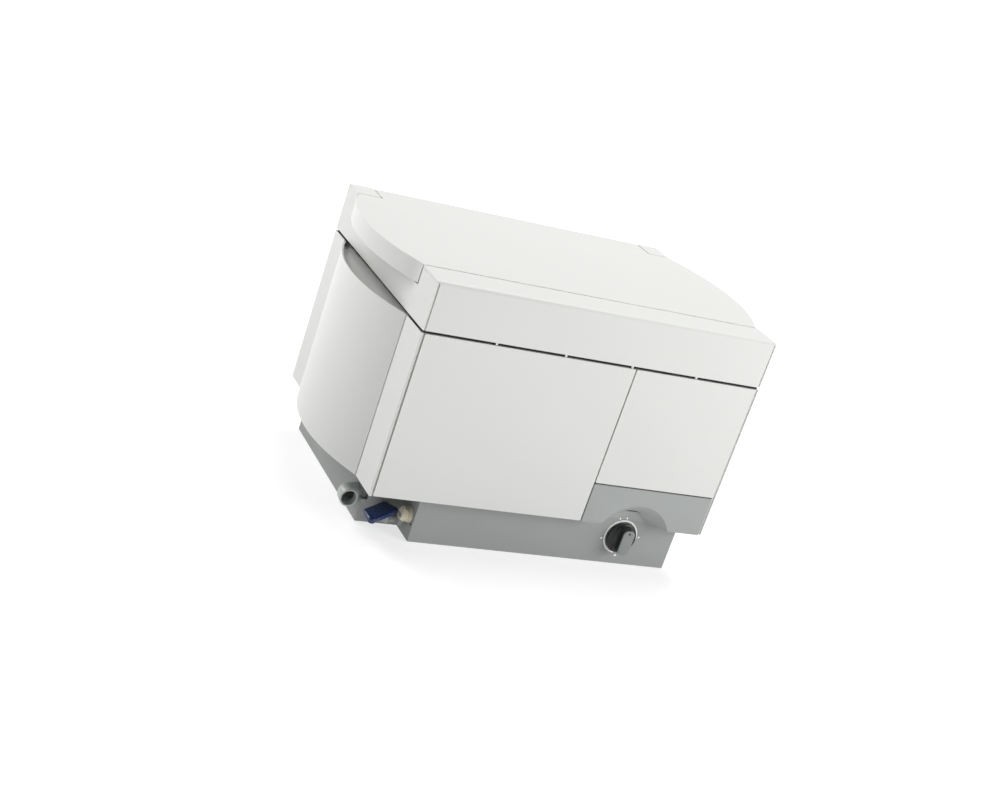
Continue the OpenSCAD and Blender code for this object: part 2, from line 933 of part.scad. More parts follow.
module grating_mount() {
    color("#5f6468")
        difference() {
            union() {
                rod_y(dial_x, turret_z, 8, beam_y - 22, beam_y + 22);
                block([dial_x - 14, beam_y - 16, turret_z + 2], [dial_x + 14, beam_y + 16, turret_z + 12]);
            }
            rod_y(dial_x, turret_z, 4, beam_y - 23, beam_y + 23);
        }
}

module grating() {
    color("#9fb4c8")
        block([dial_x - 12.5, beam_y - 12.5, turret_z + 12], [dial_x + 12.5, beam_y + 12.5, turret_z + 15]);
}

mono_x0 = 58;
mono_x1 = 178;
mono_y0 = front + 72;
mono_y1 = front + 210;
mono_top = 140;

module monochromator_box() {
    color("#3a3d40")
        difference() {
            block([mono_x0, mono_y0, base_h + 2], [mono_x1, mono_y1, mono_top]);
            block([mono_x0 + wall, mono_y0 + wall, base_h + 2 + wall], [mono_x1 - wall, mono_y1 - wall, mono_top + 1]);
            rod_y(dial_x, turret_z, 4 + running, mono_y0 - 1, mono_y0 + wall + 1);
            rod_x(beam_y, turret_z, 5, mono_x0 - 1, mono_x0 + wall + 1);
        }
}

exit_x = 150;

module monochromator_lid() {
    color("#3a3d40")
        difference() {
            block([mono_x0, mono_y0, mono_top], [mono_x1, mono_y1, mono_top + 3]);
            rod_z(exit_x, beam_y, 5, mono_top - 1, mono_top + 4);
        }
}

module slit_plates() {
    color("#1a1a1a")
        union() {
            difference() {
                block([mono_x0 - 1, beam_y - 8, turret_z - 8], [mono_x0, beam_y + 8, turret_z + 8]);
                block([mono_x0 - 2, beam_y - 0.5, turret_z - 4], [mono_x0 + 1, beam_y + 0.5, turret_z + 4]);
            }
            difference() {
                block([exit_x - 8, beam_y - 8, mono_top + 3], [exit_x + 8, beam_y + 8, mono_top + 4]);
                block([exit_x - 4, beam_y - 0.5, mono_top + 2], [exit_x + 4, beam_y + 0.5, mono_top + 5]);
            }
        }
}

module mirrors() {
    color("#c8d4dc")
        union() {
            translate([mono_x1 - 12, beam_y, turret_z + 10])
                rotate([0, -70, 0])
                    cylinder(r = 14, h = 5);
            translate([exit_x, beam_y, beam_z])
                rotate([0, -45, 0])
                    translate([0, 0, 0.2])
                        cylinder(r = 10, h = 3);
        }
}

module mirror_bracket() {
    color("#5f6468")
        union() {
            translate([exit_x, beam_y, beam_z])
                rotate([0, -45, 0])
                    translate([-11, -12, 3.2])
                        cube([22, 24, 4]);
            block([exit_x + 12, beam_y + 13, mono_top + 3], [exit_x + 16, beam_y + 17, beam_z]);
            translate([exit_x, beam_y, beam_z])
                rotate([0, -45, 0])
                    translate([-4, 11, 3.2])
                        cube([22, 6, 4]);
        }
}

lamp_x0 = 6;
lamp_x1 = 46;

module lamp_house() {
    color("#84898c")
        difference() {
            union() {
                block([lamp_x0, beam_y - 24, base_h + 2], [lamp_x1, beam_y + 24, 120]);
                for (i = [0:5])
                    block([lamp_x0, beam_y - 22 + 8 * i, 120], [lamp_x1, beam_y - 18 + 8 * i, 132]);
            }
            block([lamp_x0 + wall, beam_y - 21, base_h + 6], [lamp_x1 - wall, beam_y + 21, 116]);
            rod_x(beam_y, turret_z, 5, lamp_x1 - wall - 1, lamp_x1 + 1);
        }
}

module lamp() {
    color([0.95, 0.93, 0.85, 0.7])
        union() {
            rod_z(26, beam_y, 8, base_h + 6, base_h + 20);
            rod_z(26, beam_y, 6, base_h + 20, turret_z + 6);
            translate([26, beam_y, turret_z + 6])
                sphere(6);
        }
}

module detector() {
    color("#202224")
        difference() {
            block([-well_x - 32, beam_y - 18, beam_z - 14], [-well_x - 0.2, beam_y + 18, beam_z + 18]);
            rod_x(beam_y, beam_z, 8, -well_x - 10, -well_x + 1);
        }
}

// ---------- power ----------

module power_supply() {
    color("#a9adb0")
        difference() {
            block([-160, front + 44, base_h + 2], [-20, front + 100, 110]);
            for (i = [0:8])
                block([-152 + 15 * i, front + 50, 108], [-146 + 15 * i, front + 94, 111]);
        }
}

module main_board() {
    color("#1e6a3f")
        union() {
            block([-170, front + 160, base_h + 10], [-20, rear - 32, base_h + 11.6]);
            for (x = [-164, -26], y = [front + 166, rear - 38])
                rod_z(x, y, 3, base_h + 2, base_h + 10);
            for (i = [0:3])
                block([-150 + 32 * i, front + 180, base_h + 11.6], [-132 + 32 * i, front + 198, base_h + 14]);
            block([-160, rear - 58, base_h + 11.6], [-110, rear - 46, base_h + 22]);
        }
}

module fan_frame() {
    color("#222426")
        difference() {
            between_y(rear - skin - 22, rear - skin)
                round_rect([fan_x - 40, fan_z - 40], [fan_x + 40, fan_z + 40], 5);
            rod_y(fan_x, fan_z, fan_r + 2, rear - skin - 23, rear - skin - 3);
            rod_y(fan_x, fan_z, fan_r, rear - skin - 4, rear - skin + 1);
        }
    color("#222426")
        for (a = [0:90:270])
            translate([fan_x, rear - skin, fan_z])
                rotate([90, a, 0])
                    translate([-1.5, 0, 0])
                        cube([3, fan_r + 3, 2.5]);
    color("#222426")
        rod_y(fan_x, fan_z, 12, rear - skin - 2.5, rear - skin);
}

module fan_rotor() {
    color("#303336")
        union() {
            rod_y(fan_x, fan_z, 13, rear - skin - 20, rear - skin - 4);
            for (i = [0:6])
                translate([fan_x, rear - skin - 19, fan_z])
                    rotate([0, i * 360 / 7, 0])
                        rotate([0, 0, 35])
                            translate([-0.8, -1, 8])
                                cube([1.6, 14, fan_r - 9]);
        }
}

module power_inlet() {
    color("#161718")
        difference() {
            block([inlet_x - 13.8, rear - 26, inlet_z - 10.3], [inlet_x + 13.8, rear - 0.1, inlet_z + 10.3]);
            between_y(rear - 20, rear + 1)
                round_rect([inlet_x - 12, inlet_z - 8], [inlet_x + 12, inlet_z + 8], 3);
            pin_blades();
        }
}

// Three flat blades of the power inlet
module pin_blades() {
    for (p = [[-7, -2], [0, 2], [7, -2]])
        block([inlet_x + p[0] - 1, rear - 24, inlet_z + p[1] - 2], [inlet_x + p[0] + 1, rear - 10,
            inlet_z + p[1] + 2]);
}

module inlet_pins() {
    color("#c8b060")
        pin_blades();
}

// Rocker: a shallow V that tips about its middle
module power_rocker() {
    color("#1b1c1d")
        between_x(rocker_x - 5.5, rocker_x + 5.5)
            polygon([[rear - 9, inlet_z - 9], [rear - 1.6, inlet_z - 9.6], [rear - 3.2, inlet_z],
                [rear - 0.6, inlet_z + 9.2], [rear - 9, inlet_z + 9]]);
}

base_tub();
feet();
chassis_plate();
left_front_post();
right_front_post();
left_side_cover();
right_side_cover();
left_rear_post();
right_rear_post();
rear_panel();
front_frame();
left_door();
right_panel();
control_fascia();
slot_spacers();
corner_pillars();
upper_frame();
upper_front_cover();
deck_plate();
lid();
hinge_pins();
lid_seal();
sample_well();
cell_block();
flow_cell();
sample_tubes();
dial_knob();
dial_cap();
dial_print();
dial_shaft();
dial_bush();
dial_pinion();
sector_gear();
grating_shaft();
grating_mount();
grating();
monochromator_box();
monochromator_lid();
slit_plates();
mirrors();
mirror_bracket();
lamp_house();
lamp();
detector();
power_supply();
main_board();
fan_frame();
fan_rotor();
power_inlet();
inlet_pins();
power_rocker();
drain_elbow();
drain_nut();
tap_body();
tap_lever();
door_pins();
door_lugs();
panel_screws();
slot_trim();
front_bumper();
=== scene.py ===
"""Looks of a bench-top spectrophotometer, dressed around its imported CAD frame.

Sizes are in metres in the frame's own axes: +X right, -Y front, +Z up, with the bench at z = 0.
"""
import json
import logging
import math
from dataclasses import dataclass
from enum import Enum
from typing import Any, Iterable, Sequence

import bmesh
import bpy
import numpy as np
from mathutils import Matrix, Vector


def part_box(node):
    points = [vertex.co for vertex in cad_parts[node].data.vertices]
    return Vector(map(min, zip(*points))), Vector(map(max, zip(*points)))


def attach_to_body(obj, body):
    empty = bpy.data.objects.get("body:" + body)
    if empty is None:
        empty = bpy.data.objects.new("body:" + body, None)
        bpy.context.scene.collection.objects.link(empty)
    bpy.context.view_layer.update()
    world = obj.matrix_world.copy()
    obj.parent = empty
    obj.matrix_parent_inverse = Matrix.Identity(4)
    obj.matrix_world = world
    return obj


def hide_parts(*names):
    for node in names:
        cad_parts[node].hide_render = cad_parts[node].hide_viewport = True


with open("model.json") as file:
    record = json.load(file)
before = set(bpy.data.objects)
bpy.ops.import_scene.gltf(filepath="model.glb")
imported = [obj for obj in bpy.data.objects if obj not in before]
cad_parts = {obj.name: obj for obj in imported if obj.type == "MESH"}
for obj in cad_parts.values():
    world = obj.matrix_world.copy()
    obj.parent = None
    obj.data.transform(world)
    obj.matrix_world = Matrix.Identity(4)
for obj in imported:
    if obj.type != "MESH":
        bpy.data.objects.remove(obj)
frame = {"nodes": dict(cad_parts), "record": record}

LOG = logging.getLogger("spectrophotometer")
MM = 0.001
TURN = 2.0 * math.pi
WELD_M = 1e-6  # points nearer than this are one
FLAT_DEG = 0.6  # faces that differ by less than this are one flat
CREASE_DEG = 32.0  # edges sharper than this stay crisp on a panel
BEVEL_DEG = 40.0  # edges sharper than this are rounded
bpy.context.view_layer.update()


# ---------------------------------------------------------------- colours and shader nodes


def linear(hex_colour: str) -> tuple[float, float, float, float]:
    """Turns an sRGB colour into linear light.

    Args:
        hex_colour: The colour as "#rrggbb".

    Returns:
        Red, green, blue and an alpha of 1.
    """
    channels = np.array([int(hex_colour[i:i + 2], 16) for i in (1, 3, 5)]) / 255.0
    light = np.where(channels <= 0.04045, channels / 12.92, ((channels + 0.055) / 1.055) ** 2.4)
    return (*(float(value) for value in light), 1.0)


def add_node(tree: bpy.types.NodeTree, kind: str, settings: dict[Any, Any] | None = None,
             links: dict[Any, bpy.types.NodeSocket] | None = None) -> bpy.types.Node:
    """Adds a shader node with its settings and links.

    Args:
        tree: The material's node tree.
        kind: The node's type name.
        settings: Socket names or numbers, or the node's own attributes, with their values.
        links: Socket names or numbers with the outputs that feed them.

    Returns:
        The new node.
    """
    node = tree.nodes.new(kind)
    for key, value in (settings or {}).items():
        if isinstance(key, int) or key in node.inputs:
            node.inputs[key].default_value = value
        else:
            setattr(node, key, value)
    for key, source in (links or {}).items():
        tree.links.new(source, node.inputs[key])
    return node


# ---------------------------------------------------------------- finishes


@dataclass(frozen=True)
class Finish:
    """A plain finish with a fine relief and a slow drift of tone.

    The relief is a noise of grain_mm, relief_mm deep. The tone drifts by the share drift over drift_mm.
    """

    name: str
    colour: str
    roughness: float = 0.5
    metallic: float = 0.0
    grain_mm: float = 0.5
    relief_mm: float = 0.01
    drift: float = 0.03
    drift_mm: float = 45.0
    specular: float = 0.5

    def build(self) -> bpy.types.Material:
        """Makes the material and returns it."""
        material = bpy.data.materials.new(self.name)
        material.use_nodes = True
        tree = material.node_tree
        tree.nodes.clear()
        shader = add_node(tree, "ShaderNodeBsdfPrincipled", {
            "Base Color": linear(self.colour), "Roughness": self.roughness,
            "Metallic": self.metallic, "Specular IOR Level": self.specular})
        add_node(tree, "ShaderNodeOutputMaterial", links={"Surface": shader.outputs[0]})
        place = add_node(tree, "ShaderNodeTexCoord").outputs["Object"]
        self.dress(tree, shader, place)
        return material

    def dress(self, tree: bpy.types.NodeTree, shader: bpy.types.Node,
              place: bpy.types.NodeSocket) -> None:
        """Gives the shader its tone, roughness and relief from noises on the piece's own place."""
        self.tone(tree, shader, place)
        grain = add_node(tree, "ShaderNodeTexNoise", {"Scale": 1.0 / (self.grain_mm * MM), "Detail": 2.0},
                         {"Vector": place}).outputs[0]
        self.relief(tree, shader, grain)

    def tone(self, tree: bpy.types.NodeTree, shader: bpy.types.Node,
             place: bpy.types.NodeSocket) -> None:
        """Lets the colour drift slowly between a darker and a lighter shade."""
        noise = add_node(tree, "ShaderNodeTexNoise", {"Scale": 1.0 / (self.drift_mm * MM), "Detail": 4.0},
                         {"Vector": place})
        self.shade(tree, shader, noise.outputs[0])

    def shade(self, tree: bpy.types.NodeTree, shader: bpy.types.Node,
              share: bpy.types.NodeSocket) -> None:
        """Mixes a darker and a lighter shade of the colour, apart by the drift, by a share."""
        base = np.array(linear(self.colour)[:3])
        mix = add_node(tree, "ShaderNodeMix", {
            "data_type": "RGBA", 6: (*(base * (1.0 - self.drift)), 1.0),
            7: (*np.minimum(base * (1.0 + self.drift), 1.0), 1.0)}, {0: share})
        tree.links.new(mix.outputs[2], shader.inputs["Base Color"])

    def relief(self, tree: bpy.types.NodeTree, shader: bpy.types.Node,
               height: bpy.types.NodeSocket, spread: float = 0.06) -> None:
        """Drives roughness and bump from one height signal.

        Args:
            tree: The material's node tree.
            shader: The surface shader.
            height: The signal, from 0 to 1.
            spread: How far the roughness moves each way.
        """
        rough = add_node(tree, "ShaderNodeMapRange", {
            "To Min": max(self.roughness - spread, 0.02), "To Max": min(self.roughness + spread, 1.0)},
            {"Value": height})
        bump = add_node(tree, "ShaderNodeBump", {"Strength": 1.0, "Distance": self.relief_mm * MM},
                        {"Height": height})
        tree.links.new(rough.outputs[0], shader.inputs["Roughness"])
        tree.links.new(bump.outputs[0], shader.inputs["Normal"])


@dataclass(frozen=True)
class PowderCoat(Finish):
    """Baked powder paint: a low orange peel about 1.5 mm across, with finer specks in it."""

    def dress(self, tree: bpy.types.NodeTree, shader: bpy.types.Node,
              place: bpy.types.NodeSocket) -> None:
        """Adds the orange peel to the speckled relief."""
        self.tone(tree, shader, place)
        peel = add_node(tree, "ShaderNodeTexVoronoi", {
            "feature": "SMOOTH_F1", "Scale": 1.0 / (3.0 * self.grain_mm * MM), "Smoothness": 1.0},
            {"Vector": place})
        speck = add_node(tree, "ShaderNodeTexNoise", {"Scale": 1.0 / (self.grain_mm * MM), "Detail": 3.0},
                         {"Vector": place})
        blend = add_node(tree, "ShaderNodeMix", {0: 0.45}, {2: peel.outputs[0], 3: speck.outputs[0]})
        self.relief(tree, shader, blend.outputs[0])


@dataclass(frozen=True)
class Brushed(Finish):
    """Metal with fine lines along one axis, from grinding, drawing or turning."""

    along: tuple[float, float, float] = (0.02, 1.0, 1.0)

    def dress(self, tree: bpy.types.NodeTree, shader: bpy.types.Node,
              place: bpy.types.NodeSocket) -> None:
        """Stretches the grain along the lines."""
        self.tone(tree, shader, place)
        stretched = add_node(tree, "ShaderNodeMapping", {"Scale": self.along}, {"Vector": place})
        lines = add_node(tree, "ShaderNodeTexNoise", {"Scale": 1.0 / (self.grain_mm * MM), "Detail": 4.0},
                         {"Vector": stretched.outputs[0]})
        self.relief(tree, shader, lines.outputs[0], 0.12)


@dataclass(frozen=True)
class ZincSheet(Finish):
    """Galvanised sheet: crystals of zinc a few millimetres across, each with its own tone."""

    def dress(self, tree: bpy.types.NodeTree, shader: bpy.types.Node,
              place: bpy.types.NodeSocket) -> None:
        """Gives each crystal its own shade and roughness."""
        crystals = add_node(tree, "ShaderNodeTexVoronoi", {"Scale": 1.0 / (self.drift_mm * MM)},
                            {"Vector": place})
        random = add_node(tree, "ShaderNodeSeparateColor", links={0: crystals.outputs["Color"]})
        self.shade(tree, shader, random.outputs[0])
        self.relief(tree, shader, random.outputs[1], 0.1)


@dataclass(frozen=True)
class SolderMask(Finish):
    """Green lacquer over copper: tracks on a 2.5 mm raster show as paler, raised lines."""

    track: str = "#2f8a55"

    def dress(self, tree: bpy.types.NodeTree, shader: bpy.types.Node,
              place: bpy.types.NodeSocket) -> None:
        """Draws tracks where the edges of a square-celled pattern run."""
        raster = add_node(tree, "ShaderNodeTexVoronoi", {
            "feature": "DISTANCE_TO_EDGE", "Scale": 1.0 / (self.drift_mm * MM), "Randomness": 0.85},
            {"Vector": place})
        edge = add_node(tree, "ShaderNodeMapRange", {"From Min": 0.05, "From Max": 0.09, "To Min": 1.0,
                                                    "To Max": 0.0}, {"Value": raster.outputs[0]})
        mix = add_node(tree, "ShaderNodeMix", {
            "data_type": "RGBA", 6: linear(self.colour), 7: linear(self.track)}, {0: edge.outputs[0]})
        tree.links.new(mix.outputs[2], shader.inputs["Base Color"])
        self.relief(tree, shader, edge.outputs[0])


@dataclass(frozen=True)
class Clear(Finish):
    """Clear material that light goes through, with a faint tint and a few fine marks."""

    transmission: float = 1.0
    ior: float = 1.46

    def dress(self, tree: bpy.types.NodeTree, shader: bpy.types.Node,
              place: bpy.types.NodeSocket) -> None:
        """Sets the transmission, then the drift and relief of the surface."""
        shader.inputs["Transmission Weight"].default_value = self.transmission
        shader.inputs["IOR"].default_value = self.ior
        super().dress(tree, shader, place)


class Paints:
    """Every finish of the instrument, by the record's slot, each made once."""

    FINISHES: dict[str, Finish] = {
        # Baked off-white powder paint on steel sheet: satin, with a low orange peel.
        "painted_panel": PowderCoat("powder coated steel", "#cccdca", 0.46, grain_mm=0.5, relief_mm=0.006,
                                    drift=0.012, drift_mm=90.0, specular=0.4),
        # ABS moulded against a spark-eroded tool: an even, dull grain.
        "grey_plastic": Finish("spark textured grey ABS", "#979a98", 0.56, grain_mm=0.55,
                               relief_mm=0.012, drift=0.03, specular=0.35),
        # Extruded and bent PVC: smooth, with faint flow marks.
        "light_grey_plastic": Finish("moulded light grey PVC", "#a9aeaa", 0.34, grain_mm=1.6,
                                     relief_mm=0.01, drift=0.05, drift_mm=9.0),
        # Nitrile rubber: dull and black, slightly dusty.
        "rubber": Finish("nitrile rubber", "#232323", 0.82, grain_mm=0.4, relief_mm=0.02, drift=0.2,
                         drift_mm=6.0, specular=0.25),
        # Zinc-plated sheet steel with a visible spangle.
        "zinc_steel": ZincSheet("zinc plated steel", "#a7acb0", 0.38, metallic=1.0, relief_mm=0.004,
                                drift=0.14, drift_mm=5.0),
        # Ground steel rod: fine lines round the rod.
        "bright_steel": Brushed("ground steel", "#c4c6c9", 0.26, metallic=1.0, grain_mm=0.4,
                                relief_mm=0.004, drift=0.04, drift_mm=12.0, along=(1.0, 0.05, 0.05)),
        # Black powder paint inside the case: dull, so that no light strays.
        "black_paint": PowderCoat("matt black powder coat", "#26282a", 0.7, grain_mm=0.5, relief_mm=0.012,
                                  drift=0.12, drift_mm=30.0, specular=0.3),
        # Black moulded ABS with a fine texture.
        "black_plastic": Finish("black moulded ABS", "#1b1c1d", 0.42, grain_mm=0.4, relief_mm=0.006,
                                drift=0.1, drift_mm=12.0, specular=0.45),
        # Screen-printing ink: opaque white with a slightly uneven edge.
        "white_print": Finish("white screen ink", "#fbfbf8", 0.5, grain_mm=0.3, relief_mm=0.01),
        # Turned and hobbed brass.
        "brass": Brushed("machined brass", "#c9a55c", 0.28, metallic=1.0, grain_mm=0.35, relief_mm=0.005,
                         drift=0.08, drift_mm=10.0, along=(1.0, 0.06, 1.0)),
        # Milled aluminium, clear anodised.
        "aluminium": Brushed("anodised aluminium", "#b4b8bc", 0.36, metallic=1.0, grain_mm=0.45,
                             relief_mm=0.005, drift=0.05, drift_mm=15.0),
        # Aluminised glass under a hard coat.
        "mirror": Finish("aluminised mirror", "#e4e9ee", 0.03, metallic=1.0, grain_mm=4.0, relief_mm=0.0004,
                         drift=0.01),
        # Fused quartz.
        "glass": Clear("fused quartz", "#f2f6f7", 0.03, grain_mm=6.0, relief_mm=0.001, drift=0.0),
        # Green lacquered circuit board.
        "board": SolderMask("green solder mask", "#176238", 0.32, relief_mm=0.03, drift_mm=5.0),
        # Natural nylon, ivory, injection moulded.
        "cream_plastic": Finish("natural nylon", "#d9d2bd", 0.36, grain_mm=1.2, relief_mm=0.012, drift=0.06,
                                drift_mm=7.0),
        # Navy acetal, smooth moulded.
        "blue_plastic": Finish("navy acetal", "#03204e", 0.28, grain_mm=1.1, relief_mm=0.01, drift=0.08,
                               drift_mm=8.0),
        # Platinum-cured silicone tube: milky, soft sheen.
        "tube": Clear("milky silicone", "#e6eae2", 0.4, grain_mm=1.5, relief_mm=0.01, drift=0.04,
                      drift_mm=8.0, transmission=0.35, ior=1.41),
    }
    EXTRA: dict[str, Finish] = {
        # The knob's cap: the same ABS, pressed smooth and rubbed by fingers.
        "cap": Finish("rubbed grey ABS", "#7e8280", 0.42, grain_mm=0.8, relief_mm=0.008, drift=0.05,
                      drift_mm=9.0, specular=0.4),
        # The fascia's grey ABS, a shade darker as painted shade: on the base under the overhang and on the
        # tap's neck in the niche.
        "tub": Finish("spark textured grey ABS darkened as painted shade", "#909391", 0.58, grain_mm=0.6, relief_mm=0.014,
                      drift=0.04, specular=0.3),
        # Glowing tungsten wire.
        "filament": Finish("tungsten wire", "#b9b2a6", 0.35, metallic=1.0, grain_mm=0.2, relief_mm=0.002),
        # Black epoxy packages.
        "chip": Finish("black epoxy", "#191a1b", 0.5, grain_mm=0.25, relief_mm=0.008, drift=0.1,
                       drift_mm=4.0),
        # Aluminium cans with a blue-black sleeve.
        "can": Finish("shrink sleeve", "#2a3550", 0.3, grain_mm=0.8, relief_mm=0.004, drift=0.06,
                      drift_mm=5.0),
        # Tinned leads.
        "tin": Brushed("tinned copper", "#cfd0cf", 0.3, metallic=1.0, grain_mm=0.3, relief_mm=0.003),
    }

    def __init__(self) -> None:
        """Starts with nothing mixed."""
        self._mixed: dict[str, bpy.types.Material] = {}

    def get(self, name: str) -> bpy.types.Material:
        """Returns the material of a slot or extra finish, making it the first time."""
        if name not in self._mixed:
            finish = self.FINISHES.get(name) or self.EXTRA[name]
            self._mixed[name] = finish.build()
        return self._mixed[name]


PAINTS = Paints()
SLOT_OF = {part["node"]: part["material_slot"] for part in frame["record"]["subparts"]}
BODY_OF = {node: body for body, nodes in frame["record"]["behaviour"]["bodies"].items()
           for node in nodes}


# ---------------------------------------------------------------- surfaces


class Facing(Enum):
    """Which way a piece's own third axis points, as columns for its first, second and third axes."""

    FRONT = ((1, 0, 0), (0, 0, 1), (0, -1, 0))
    REAR = ((-1, 0, 0), (0, 0, 1), (0, 1, 0))
    LEFT = ((0, -1, 0), (0, 0, 1), (-1, 0, 0))
    RIGHT = ((0, 1, 0), (0, 0, 1), (1, 0, 0))
    UP = ((1, 0, 0), (0, 1, 0), (0, 0, 1))

    def place(self, points: np.ndarray, origin: Sequence[float] = (0.0, 0.0, 0.0)) -> np.ndarray:
        """Carries points from the piece's own axes, in millimetres, to the frame's, in metres.

        Args:
            points: Array whose last axis is (first, second, third).
            origin: Where the piece's own origin lies in the frame, in millimetres.

        Returns:
            Points of the same shape in the frame.
        """
        return (points @ np.array(self.value, float) + np.array(origin, float)) * MM


class Shell:
    """Grids of points gathered into one mesh."""

    def __init__(self) -> None:
        """Starts empty."""
        self._points: list[np.ndarray] = []
        self._quads: list[np.ndarray] = []
        self._count = 0

    def add(self, grid: np.ndarray, round_rows: bool = False, round_columns: bool = True) -> "Shell":
        """Adds a grid of points as quads.

        Args:
            grid: Points as an array of rows, columns and 3.
            round_rows: Whether the last row joins the first.
            round_columns: Whether the last column joins the first.

        Returns:
            The shell itself.
        """
        rows, columns = grid.shape[:2]
        row = np.arange(rows if round_rows else rows - 1)[:, None]
        column = np.arange(columns if round_columns else columns - 1)[None, :]
        next_row, next_column = (row + 1) % rows, (column + 1) % columns
        corners = [row * columns + column, row * columns + next_column,
                   next_row * columns + next_column, next_row * columns + column]
        self._quads.append(np.stack(corners, -1).reshape(-1, 4) + self._count)
        self._points.append(grid.reshape(-1, 3))
        self._count += rows * columns
        return self

    def object(self, name: str, material: bpy.types.Material,
               smooth_deg: float = 35.0) -> bpy.types.Object:
        """Makes the mesh object, with doubles merged and faces turned outwards.

        Args:
            name: The object's name.
            material: What it is made of.
            smooth_deg: Edges sharper than this stay crisp.

        Returns:
            The object, at the origin.
        """
        mesh = bpy.data.meshes.new(name)
        mesh.from_pydata(np.concatenate(self._points).tolist(), [], np.concatenate(self._quads).tolist())
        work = bmesh.new()
        work.from_mesh(mesh)
        bmesh.ops.remove_doubles(work, verts=work.verts, dist=WELD_M)
        bmesh.ops.dissolve_degenerate(work, edges=work.edges, dist=0.1 * WELD_M)
        bmesh.ops.recalc_face_normals(work, faces=work.faces)
        work.to_mesh(mesh)
        work.free()
        mesh.polygons.foreach_set("use_smooth", np.ones(len(mesh.polygons), bool))
        mesh.set_sharp_from_angle(angle=math.radians(smooth_deg))
        mesh.materials.append(material)
        piece = bpy.data.objects.new(name, mesh)
        bpy.context.scene.collection.objects.link(piece)
        return piece

    def fit(self, name: str, body: str, slot: str, nodes: Iterable[str] = (), finish: str = "",
            smooth_deg: float = 35.0) -> None:
        """Makes the piece and attaches it.

        Args:
            name: The piece's name.
            body: The body that it rides on.
            slot: Its material slot.
            nodes: The CAD nodes that it stands for.
            finish: Its finish, if not its slot's.
            smooth_deg: Edges sharper than this stay crisp.
        """
        attach(self.object(name, PAINTS.get(finish or slot), smooth_deg), body, nodes)


def circle(count: int) -> np.ndarray:
    """Returns count angles once round, without the repeat of the first."""
    return np.arange(count) * TURN / count


def revolve(profile: Sequence[tuple[float, float]], count: int = 64) -> np.ndarray:
    """Turns a profile about the piece's third axis.

    Each row is a circle: (r cos a, r sin a, h) for a profile point (h, r).

    Args:
        profile: Pairs of height and radius.
        count: Points round each circle.

    Returns:
        A grid of rows, columns and 3.
    """
    height, radius = np.array(profile, float).T
    angle = circle(count)
    return np.stack([radius[:, None] * np.cos(angle), radius[:, None] * np.sin(angle),
                     np.repeat(height[:, None], count, 1)], -1)


def fillet(height: float, radius: float, r: float, steps: int = 6) -> list[tuple[float, float]]:
    """Quarter round at the upper rim of a profile.

    The points run from the side, radius wide, over an arc of radius r to the top at height.
    """
    turn = np.linspace(0.0, math.pi / 2.0, steps)
    return list(zip(height - r + r * np.sin(turn), radius - r * (1.0 - np.cos(turn))))


@dataclass(frozen=True)
class Outline:
    """Four-sided outline with round corners.

    The corners' centres run anticlockwise from the upper right, r is the corners' radius, and
    end_deg is the way that the right-hand side faces.
    """

    centres: Sequence[Sequence[float]]
    r: float
    end_deg: float = 0.0

    @classmethod
    def rectangle(cls, half_w: float, half_h: float, r: float) -> "Outline":
        """Returns the rectangle that reaches half_w and half_h each way."""
        return cls(np.array([[1, 1], [-1, 1], [-1, -1], [1, -1]]) * [half_w - r, half_h - r], r)

    def rows(self, insets: Sequence[float], heights: Sequence[float], steps: int = 8) -> np.ndarray:
        """Rows of the outline, each drawn in by its inset and lying at its own height.

        The point at angle a is the corner's centre plus (r - inset)(cos a, sin a). At each corner
        the angle runs from the way that one side faces to the way that the next one does.

        Args:
            insets: How far each row is drawn in.
            heights: Where each row lies along the third axis.
            steps: Points in each corner.

        Returns:
            A grid of rows, columns and 3.
        """
        faces = np.radians([self.end_deg, 90.0, 180.0, 270.0, 360.0 + self.end_deg])
        angle = np.linspace(faces[:-1], faces[1:], steps).T.reshape(-1)
        reach = self.r - np.asarray(insets, float)[:, None, None]
        plan = np.repeat(self.centres, steps, 0) + reach * np.stack([np.cos(angle), np.sin(angle)], -1)
        height = np.broadcast_to(np.asarray(heights, float)[:, None, None], (*plan.shape[:2], 1))
        return np.concatenate([plan, height], -1)

    def stack(self, insets: Sequence[float], heights: Sequence[float], crown: float = 0.0) -> np.ndarray:
        """Rows of the outline, closed at both ends.

        The top rises over the last row by crown (1 - s squared), where s is the share of the way out.

        Args:
            insets: How far each row is drawn in.
            heights: Where each row lies along the third axis.
            crown: How much higher the top's middle is than its rim.

        Returns:
            A grid of rows, columns and 3.
        """
        rows = self.rows(insets, heights)
        share = np.array([0.8, 0.55, 0.28, 0.0])[:, None, None]
        top = rows[-1] * [1.0, 1.0, 0.0] * share + [0.0, 0.0, 1.0] * (
            heights[-1] + crown * (1.0 - share ** 2))
        return np.concatenate([rows[:1] * [0.0, 0.0, 1.0], rows, top])

    def pillow(self, depth: float, edge: float, crown: float = 0.0, both: bool = False) -> np.ndarray:
        """Block whose rim is a quarter round.

        The rim's inset is edge (1 - cos t) at height depth - edge + edge sin t.

        Args:
            depth: Its depth along the third axis, to its rim.
            edge: Radius of its rim.
            crown: How much higher its middle is than its rim.
            both: Whether its foot is rounded too.

        Returns:
            A grid of rows, columns and 3, closed at both ends.
        """
        turn = np.linspace(0.0, math.pi / 2.0, 6)
        inset, rise = edge * (1.0 - np.cos(turn)), edge * np.sin(turn)
        foot = (inset[::-1], (edge - rise)[::-1]) if both else (np.zeros(1), np.zeros(1))
        return self.stack(np.concatenate([foot[0], inset]),
                          np.concatenate([foot[1], depth - edge + rise]), crown)


